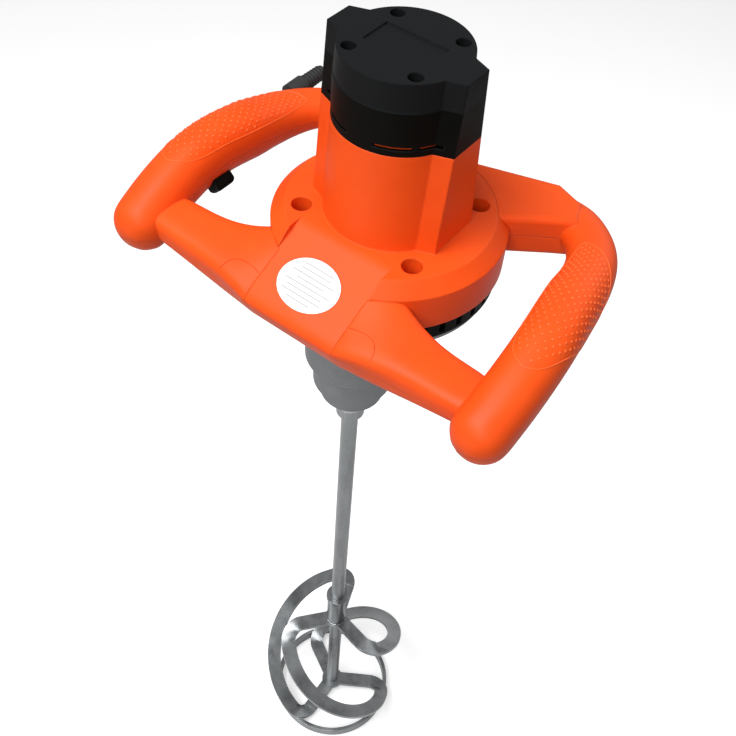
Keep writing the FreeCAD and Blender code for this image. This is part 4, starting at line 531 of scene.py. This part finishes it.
@dataclass
class Handle:
    """Moulded detail on one handle: the dotted grip panel and its border. Sizes are millimetres."""

    side: Side
    finish: bpy.types.Material
    half_width: float = 20.0
    half_height: float = 22.0
    rear_half_width: float = 17.0
    rear_half_height: float = 13.5
    rear_share: float = 0.33
    rear_blend: float = 0.25
    power: float = 2.3
    level: float = 158.0
    dot_pitch: float = 6.2
    dot_radius: float = 1.0
    dot_height: float = 0.55
    dot_margin: float = 3.0
    dot_around: int = 10
    dot_rises: tuple[float, ...] = (-25.0, 0.0, 25.0, 50.0, 75.0)
    border: float = 0.4
    edge_points: int = 240
    path_length: float = 240.0
    path_step: float = 1e-3
    slope_step: float = 2e-3
    round_radius: float = 21.0
    outline: tuple[tuple[float, float], ...] = (
        (0.845, 90.0), (0.81, 52.0), (0.705, 31.0), (0.61, 28.0), (0.52, 32.0), (0.43, 46.0),
        (0.385, 68.0), (0.4, 88.0), (0.435, 112.0), (0.5, 150.0), (0.58, 182.0), (0.66, 190.0),
        (0.72, 177.0), (0.752, 160.0), (0.8, 135.0), (0.835, 110.0))
    stations: list[tuple[float, float, float]] = field(default_factory=lambda: [
        (40, 99, 1), (73, 112, 1), (101, 118, 0), (123.5, 105, 0), (138.5, 76, 1),
        (144.5, 38, 4), (149, 3, 3.5), (150.5, -32, -5.5), (148.5, -67.5, -20)])

    def surface(self, share: np.ndarray, angle: np.ndarray) -> np.ndarray:
        """Points on the grip's outside.

        A superellipse section, width * |cos a|^(2/p) across and height * |sin a|^(2/p) up, is carried along
        the handle's spline. The cosine's and sine's signs are kept. The half sizes grow from the rear arm's
        to the grip's.

        Args:
            share: places along the path.
            angle: radians round the section, with the inner side at 0 and the top at a right angle.

        Returns:
            Points in metres, of the same grid.
        """
        stations = np.array(self.stations, dtype=float) + [0.0, 0.0, self.level]
        flat = share.ravel()
        centre = spline(stations, flat)
        ahead = spline(stations, np.clip(flat + self.path_step, 0.0, 1.0))
        behind = spline(stations, np.clip(flat - self.path_step, 0.0, 1.0))
        along = unit(ahead - behind)
        across = unit(np.stack([along[:, 1], -along[:, 0], np.zeros(len(flat))], axis=-1))
        upward = np.cross(across, along)
        cosine, sine = np.cos(angle.ravel()), np.sin(angle.ravel())
        blend = np.clip((flat - self.rear_share) / self.rear_blend, 0.0, 1.0)
        half_width = self.rear_half_width + (self.half_width - self.rear_half_width) * blend
        half_height = self.rear_half_height + (self.half_height - self.rear_half_height) * blend
        width = half_width * np.sign(cosine) * np.abs(cosine) ** (2.0 / self.power)
        height = half_height * np.sign(sine) * np.abs(sine) ** (2.0 / self.power)
        points = centre + width[:, None] * across + height[:, None] * upward
        points[:, 0] *= self.side.value
        return points.reshape(share.shape + (3,)) * MM

    def normal(self, share: np.ndarray, angle: np.ndarray) -> np.ndarray:
        """Outward directions on the grip's outside, from the slopes of its two parameters."""
        step = self.slope_step
        along = self.surface(share + step, angle) - self.surface(share - step, angle)
        round_it = self.surface(share, angle + step) - self.surface(share, angle - step)
        return unit(np.cross(along, round_it)) * self.side.value

    def panel(self) -> np.ndarray:
        """Trace the grip panel's edge.

        Returns:
            Millimetres along the path and round the section, on a spline through the outline's stations.
        """
        stations = np.array(self.outline) * [self.path_length, math.radians(self.round_radius)]
        return spline(np.vstack([stations, stations[:1]]), np.linspace(0.0, 1.0, self.edge_points))

    def lift(self, places: np.ndarray) -> tuple[np.ndarray, np.ndarray]:
        """Turn millimetres along the path and round the section into the surface's two parameters."""
        return places[..., 0] / self.path_length, places[..., 1] / self.round_radius

    def build_dots(self) -> bpy.types.Object:
        """Make the raised dots of the grip panel.

        Dots stand on a staggered grid. One is kept where a ray from it crosses the panel's edge an odd number
        of times and the edge is not near. Each dot is a dome: rings at radius r * cos(b), raised by
        h * sin(b), on the surface's own tangent plane.

        Returns:
            One piece with all the dots.
        """
        edge = self.panel()
        first, second = edge[:-1], edge[1:]
        low, high = edge.min(axis=0), edge.max(axis=0)
        along, across = np.meshgrid(np.arange(low[0], high[0], self.dot_pitch / 2.0),
                                    np.arange(low[1], high[1], self.dot_pitch), indexing="ij")
        across = across + (np.arange(len(along))[:, None] % 2) * self.dot_pitch / 2.0
        grid = np.stack([along, across], axis=-1).reshape(-1, 2)
        level = grid[:, None, 1]
        crossed = (first[:, 1] > level) != (second[:, 1] > level)
        run = np.where(first[:, 1] == second[:, 1], 1.0, second[:, 1] - first[:, 1])
        meets = first[:, 0] + (level - first[:, 1]) / run * (second[:, 0] - first[:, 0])
        within = (crossed & (grid[:, None, 0] < meets)).sum(axis=1) % 2 == 1
        clear = np.linalg.norm(grid[:, None] - edge, axis=-1).min(axis=1) > self.dot_margin
        share, angle = self.lift(grid[within & clear])
        centre = self.surface(share, angle)
        outward = self.normal(share, angle)
        # No dot faces this way, so it gives the first direction of each tangent plane.
        rough_ahead = [0.0, 1.0, 0.02]
        side = unit(np.cross(outward, rough_ahead))
        ahead = np.cross(outward, side)
        turn = full_turn(self.dot_around)
        rise = np.radians(self.dot_rises)
        ring = self.dot_radius * MM * np.cos(rise)[:, None]
        height = self.dot_height * MM * np.sin(rise)[:, None, None]
        points = (centre[:, None, None]
                  + (ring * np.cos(turn))[None, :, :, None] * side[:, None, None]
                  + (ring * np.sin(turn))[None, :, :, None] * ahead[:, None, None]
                  + height[None] * outward[:, None, None])
        dot_points = len(rise) * len(turn)
        faces = repeat_faces(grid_faces(len(rise), len(turn), False, True), len(centre), dot_points)
        rim = np.arange(len(turn))
        ends = np.stack([rim[::-1], rim + dot_points - len(turn)])
        return mesh_piece(f"grip_dots_{self.side.name.lower()}", points, faces, self.finish, Body.HOUSING,
                          caps=repeat_faces(ends, len(centre), dot_points))

    def build_border(self) -> bpy.types.Object:
        """Make the fine raised line round the grip panel.

        Returns:
            A round profile carried along the panel's edge.
        """
        path = self.surface(*self.lift(self.panel()[:-1]))
        points, faces, caps = tube(path, np.full(len(path), self.border * MM), ring=True)
        return mesh_piece(f"grip_border_{self.side.name.lower()}", points, faces, self.finish, Body.HOUSING,
                          caps=caps)


@dataclass
class ArmPanel:
    """The fine step on a front arm where the centre moulding's tongue ends. Sizes are millimetres."""

    side: Side
    finish: bpy.types.Material
    shell: bpy.types.Object
    radius: float = 0.3
    line_points: int = 60
    corners: tuple[tuple[float, float], ...] = (
        (39.5, -63.0), (52.0, -61.5), (60.0, -63.5), (64.0, -69.0), (65.5, -74.0))

    def build(self) -> bpy.types.Object:
        """Lay a fine round line on the arm's upper side, along a spline through the tongue's corners.

        Returns:
            The line as a piece.
        """
        corners = np.array(self.corners)
        shares = np.linspace(0.0, 1.0, self.line_points)
        plan = spline(corners, shares) * [self.side.value, 1.0] * MM
        path = np.column_stack([plan, height_over(self.shell, plan)])
        path = path[np.isfinite(path[:, 2])]
        points, faces, caps = tube(path, np.full(len(path), self.radius * MM))
        return mesh_piece(f"arm_panel_{self.side.name.lower()}", points, faces, self.finish, Body.HOUSING,
                          caps=caps)


@dataclass
class Spigot:
    """The orange spigot of the motor housing, seen through the cap's air slits. Sizes are millimetres."""

    finish: bpy.types.Material
    motor_offset: float = 33.4
    outer: float = 42.8
    inner: float = 40.2
    low: float = 253.2
    high: float = 255.6
    half_turn: float = 16.0
    steps: int = 14
    slits: tuple[float, ...] = (-60.0, -22.0, 75.0, 105.0, 202.0, 240.0)

    def build(self) -> bpy.types.Object:
        """Make one curved tongue for each slit: a box section carried round the motor's axis.

        Returns:
            One piece with all the tongues, closed at both ends.
        """
        span = np.linspace(-self.half_turn, self.half_turn, self.steps)
        turn = np.radians(np.array(self.slits)[:, None] + span)
        radius = np.array([self.inner, self.outer, self.outer, self.inner])
        level = np.array([self.low, self.low, self.high, self.high])
        across = radius * np.cos(turn)[..., None]
        deep = radius * np.sin(turn)[..., None] + self.motor_offset
        points = np.stack(np.broadcast_arrays(across, deep, level), axis=-1)
        corners = len(radius)
        first = np.arange(corners)
        last = first[::-1] + corners * (self.steps - 1)
        tongue = np.vstack([grid_faces(self.steps, corners, False, True)[:, ::-1], first, last])
        faces = repeat_faces(tongue, len(self.slits), corners * self.steps)
        return mesh_piece("cap_spigot", points * MM, faces, self.finish, Body.HOUSING,
                          smooth=False)


@dataclass
class Gland:
    """Moulded ribs of the cable gland. Sizes are millimetres."""

    finish: bpy.types.Material
    place: tuple[float, float, float] = (-148.0, 106.0, 164.0)
    way: tuple[float, float, float] = (0.05, 0.99, 0.08)
    first: float = 11.0
    last: float = 27.0
    ribs: int = 6
    root_radius: float = 6.2
    tip_radius: float = 5.2
    length: float = 30.0
    root: float = 9.0
    rib: float = 0.9
    around: int = 36
    rib_around: int = 8

    def build(self) -> bpy.types.Object:
        """Make the ribs as rings: (R + r cos b) round the gland's axis and r sin b along it.

        Returns:
            One piece with all the rings.
        """
        way = unit(np.array(self.way))
        side = unit(np.cross(way, [0.0, 0.0, 1.0]))
        up = np.cross(side, way)
        along = np.linspace(self.first, self.last, self.ribs)
        share = (along + self.root) / (self.length + self.root)
        ring = self.root_radius + (self.tip_radius - self.root_radius) * share
        turn = full_turn(self.around)
        small = full_turn(self.rib_around)
        radius = ring[:, None, None] + self.rib * np.cos(small)
        lift = along[:, None, None] + self.rib * np.sin(small)
        circle = np.cos(turn)[:, None] * side + np.sin(turn)[:, None] * up
        points = np.array(self.place) + radius[..., None] * circle[None, :, None] + lift[..., None] * way
        rib = grid_faces(self.around, self.rib_around, True, True)
        faces = repeat_faces(rib, self.ribs, self.around * self.rib_around)
        return mesh_piece("gland_ribs", points * MM, faces, self.finish, Body.HOUSING)


@dataclass
class Paddle:
    """Weld beads of the mixing paddle. Sizes are millimetres and angles are degrees.

    Each row of ripples is one wave along a bead: its share of the bead's radius, its radians for each
    millimetre and the radians at which it starts.
    """

    finish: bpy.types.Material
    rod_radius: float = 7.25
    hub_radius: float = 11.0
    arm_level: float = -425.0
    spoke_level: float = -603.0
    strip: float = 4.0
    hoop_radius: float = 66.0
    first_arm: float = -9.5
    sweep: float = 162.5
    joint: tuple[float, float] = (-24.0, -9.0)
    ribbons: int = 3
    hub_bead: float = 1.3
    foot_bead: float = 1.2
    hoop_bead: float = 1.2
    hoop_bead_rise: float = 0.4
    circle_points: int = 72
    joint_points: int = 25
    ripples: tuple[tuple[float, float, float], ...] = ((0.13, 3.2, 0.0), (0.06, 1.1, 0.7))

    def bead(self, name: str, path: np.ndarray, radius: float, ring: bool = False) -> bpy.types.Object:
        """Make one weld bead: a round profile whose radius ripples along the path.

        Args:
            name: the piece's name.
            path: centre line in metres.
            radius: mean radius in millimetres.
            ring: whether the path is closed.

        Returns:
            The bead.
        """
        steps = np.linalg.norm(np.diff(path, axis=0), axis=1)
        length = np.concatenate([[0.0], np.cumsum(steps)])
        share, rate, start = np.array(self.ripples).T[..., None]
        ripple = 1.0 + (share * np.sin(length / MM * rate + start)).sum(axis=0)
        points, faces, caps = tube(path, radius * MM * ripple, ring=ring)
        return mesh_piece(name, points, faces, self.finish, Body.SPINDLE, caps=caps)

    def build(self) -> None:
        """Lay the beads round the hub and the rod's foot, and where each ribbon meets the hoop."""
        turn = full_turn(self.circle_points)
        circle = np.stack([np.cos(turn), np.sin(turn), np.zeros_like(turn)], axis=-1)
        hub = circle * self.hub_radius * MM + [0.0, 0.0, (self.arm_level + self.strip / 2) * MM]
        self.bead("weld_hub", hub, self.hub_bead, ring=True)
        foot = circle * self.rod_radius * MM + [0.0, 0.0, (self.spoke_level + self.strip / 2) * MM]
        self.bead("weld_rod_foot", foot, self.foot_bead, ring=True)
        bead_level = self.spoke_level + self.strip / 2 + self.hoop_bead_rise
        for index in range(self.ribbons):
            middle = self.first_arm + self.sweep + 360.0 / self.ribbons * index
            start, end = (middle + angle for angle in self.joint)
            turn = np.radians(np.linspace(start, end, self.joint_points))
            level = np.full_like(turn, bead_level)
            across, deep = np.cos(turn) * self.hoop_radius, np.sin(turn) * self.hoop_radius
            path = np.stack([across, deep, level], axis=-1)
            self.bead(f"weld_hoop_{index + 1}", path * MM, self.hoop_bead)


@dataclass
class Label:
    """Plain rules printed on the bare oval label. Sizes are millimetres."""

    finish: bpy.types.Material
    half_length: float = 24.0
    half_width: float = 19.0
    aside: float = -3.0
    back: float = -20.0
    front: float = -71.0
    top: float = 173.0
    drop: float = 25.0
    share: float = 0.66
    thickness: float = 0.6
    span: float = 0.68
    inset: float = 0.8
    lengths: tuple[float, ...] = (0.7, 1.0, 0.8, 1.0, 0.6, 0.95, 0.75, 0.9)
    half_rule: float = 0.42
    ink_low: float = 0.02
    ink_high: float = 0.06

    def build(self) -> bpy.types.Object:
        """Make the rules, thin bars that stop short of the oval's edge.

        A bar at share s of the oval's half width reaches inset * sqrt(1 - s^2) of its half length, times the
        bar's own length.

        Returns:
            One piece with all the bars, just over the film.
        """
        slope = math.atan2(self.drop, self.back - self.front)
        centre = np.array([self.aside, self.back + self.share * (self.front - self.back),
                           self.top - self.share * self.drop])
        along = np.array([1.0, 0.0, 0.0])
        up_slope = np.array([0.0, math.cos(slope), math.sin(slope)])
        outward = np.array([0.0, -math.sin(slope), math.cos(slope)])
        rules = len(self.lengths)
        place = np.linspace(-self.span, self.span, rules)
        reach = self.inset * np.sqrt(1.0 - place ** 2) * np.array(self.lengths)
        corner_along = np.array([-1.0, 1.0, 1.0, -1.0])
        corner_up = np.array([-1.0, -1.0, 1.0, 1.0])
        film = (centre + outward * self.thickness)[None, None]
        flat = (film + (reach[:, None] * corner_along * self.half_length)[..., None] * along
                + (place[:, None] * self.half_width + corner_up * self.half_rule)[..., None] * up_slope)
        points = np.stack([flat + outward * self.ink_low, flat + outward * self.ink_high], axis=1) * MM
        bar = np.array([[3, 2, 1, 0], [4, 5, 6, 7], [0, 1, 5, 4], [1, 2, 6, 5], [2, 3, 7, 6], [3, 0, 4, 7]])
        faces = repeat_faces(bar, rules, 2 * len(corner_along))
        return mesh_piece("label_rules", points, faces, self.finish, Body.HOUSING,
                          smooth=False)


@dataclass(frozen=True)
class Lamp:
    """One square soft lamp that points at the origin. Lengths are metres and the power is watts."""

    name: str
    place: tuple[float, float, float]
    size: float
    power: float

    def build(self) -> None:
        """Hang the lamp."""
        data = bpy.data.lights.new(self.name, "AREA")
        data.size = self.size
        data.energy = self.power
        lamp = bpy.data.objects.new(self.name, data)
        lamp.location = self.place
        lamp.rotation_euler = (-Vector(self.place)).to_track_quat("-Z", "Y").to_euler()
        bpy.context.scene.collection.objects.link(lamp)


@dataclass
class Studio:
    """Floor, soft light and the camera. Lengths are metres and angles are degrees.

    The floor's lift is added light that only the camera sees. The sky's mirrored share says how far its
    strength in reflections goes from its strength as light towards full white.
    """

    floor_level: float = -0.6135
    floor_reach: float = 6.0
    floor_lift: float = 0.42
    floor_roughness: float = 0.9
    floor_shown: str = "#F4F4F4"
    floor_bounce: str = "#8C8C8C"
    white: str = "#FFFFFF"
    sky_light: float = 0.18
    sky_mirrored: float = 0.35
    camera_place: tuple[float, float, float] = (0.28806, -0.40915, 0.6196)
    azimuth: float = 33.77
    elevation: float = 49.9
    roll: float = 4.87
    lens: float = 47.33
    sensor: float = 36.0
    far: float = 20.0
    lamps: tuple[Lamp, ...] = (
        Lamp("key", (-0.42, -0.7, 1.95), 1.1, 44.0),
        Lamp("front", (0.45, -1.3, 1.3), 0.9, 13.0),
        Lamp("fill", (1.3, -0.6, 0.6), 1.4, 2.0),
        Lamp("back", (0.4, 1.5, 1.1), 1.4, 7.0),
        Lamp("low", (-0.3, -1.3, -0.2), 1.0, 2.5),
    )

    def build_camera(self) -> None:
        """Set the camera at the photograph's viewing angle."""
        azimuth, elevation = math.radians(self.azimuth), math.radians(self.elevation)
        roll = math.radians(self.roll)
        level = math.cos(elevation)
        back = Vector((math.sin(azimuth) * level, -math.cos(azimuth) * level, math.sin(elevation)))
        right = (-back).cross(Vector((0.0, 0.0, 1.0))).normalized()
        up = right.cross(-back)
        across = right * math.cos(roll) + up * math.sin(roll)
        upright = up * math.cos(roll) - right * math.sin(roll)
        data = bpy.data.cameras.new("camera")
        data.sensor_width = self.sensor
        data.lens = self.lens
        data.clip_end = self.far
        camera = bpy.data.objects.new("camera", data)
        turn = Matrix((across, upright, back)).transposed().to_4x4()
        camera.matrix_world = Matrix.Translation(Vector(self.camera_place)) @ turn
        bpy.context.scene.collection.objects.link(camera)
        bpy.context.scene.camera = camera

    def build_floor(self) -> None:
        """Lay a pale floor under the hoop: white to the camera and in reflections, with a dimmer bounce."""
        reach = self.floor_reach
        corners = np.array([[-reach, -reach], [reach, -reach], [reach, reach], [-reach, reach]])
        points = np.column_stack([corners, np.full(len(corners), self.floor_level)])
        mesh = bpy.data.meshes.new("floor")
        mesh.from_pydata(points.tolist(), [], [[0, 1, 2, 3]])
        floor = bpy.data.objects.new("floor", mesh)
        bpy.context.scene.collection.objects.link(floor)
        material = bpy.data.materials.new("pale_floor")
        tree = fresh_tree(material)
        rays = add(tree, "ShaderNodeLightPath").outputs
        lift = add(tree, "ShaderNodeMath", {0: rays["Is Camera Ray"], 1: self.floor_lift},
                   operation="MULTIPLY")
        mirrored = add(tree, "ShaderNodeMath", {0: rays["Is Glossy Ray"], 1: rays["Is Transmission Ray"]},
                       operation="MAXIMUM")
        shown = add(tree, "ShaderNodeMath", {0: rays["Is Camera Ray"], 1: mirrored.outputs["Value"]},
                    operation="MAXIMUM")
        tone = add(tree, "ShaderNodeMix", {
            "Factor": shown.outputs["Value"], "A": linear(self.floor_bounce), "B": linear(self.floor_shown)},
            data_type="RGBA")
        shader = add(tree, "ShaderNodeBsdfPrincipled", {
            "Base Color": tone.outputs["Result"], "Roughness": self.floor_roughness,
            "Emission Color": linear(self.white), "Emission Strength": lift.outputs["Value"]})
        add(tree, "ShaderNodeOutputMaterial", {"Surface": shader.outputs["BSDF"]})
        mesh.materials.append(material)

    def build_light(self) -> None:
        """Hang the large soft lamps and a pale sky."""
        for lamp in self.lamps:
            lamp.build()
        world = bpy.data.worlds.new("studio")
        tree = fresh_tree(world)
        rays = add(tree, "ShaderNodeLightPath").outputs
        mirrored = add(tree, "ShaderNodeMath", {0: rays["Is Glossy Ray"], 1: self.sky_mirrored},
                       operation="MULTIPLY")
        shown = add(tree, "ShaderNodeMath", {0: rays["Is Camera Ray"], 1: mirrored.outputs["Value"]},
                    operation="MAXIMUM")
        strength = add(tree, "ShaderNodeMapRange", {
            "Value": shown.outputs["Value"], "To Min": self.sky_light, "To Max": 1.0})
        sky = add(tree, "ShaderNodeBackground", {
            "Color": linear(self.white), "Strength": strength.outputs["Result"]})
        add(tree, "ShaderNodeOutputWorld", {"Surface": sky.outputs["Background"]})
        bpy.context.scene.world = world

    def build(self) -> None:
        """Make the whole studio."""
        bpy.context.scene.view_settings.view_transform = "Standard"
        self.build_camera()
        self.build_floor()
        self.build_light()


def main() -> None:
    """Load the frame, dress it, add the detail and set the studio."""
    logging.basicConfig(level=logging.INFO, format="%(name)s: %(message)s")
    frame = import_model()
    finishes = Finishes()
    finishes.dress_solids(frame)
    for side in Side:
        # The grip's dots and border take the lighter finish, a painted highlight.
        handle = Handle(side, finishes.get(Finishes.DOTS_PAINTED_HIGHLIGHT))
        handle.build_dots()
        handle.build_border()
        shell = frame["nodes"][f"handle_{side.name.lower()}_upper"]
        ArmPanel(side, finishes.get(Finishes.ORANGE), shell).build()
    Spigot(finishes.get(Finishes.ORANGE)).build()
    Gland(finishes.get(Finishes.RUBBER)).build()
    Paddle(finishes.get(Finishes.PADDLE)).build()
    Label(finishes.get(Finishes.INK)).build()
    Studio().build()


if __name__ == "__main__":
    main()
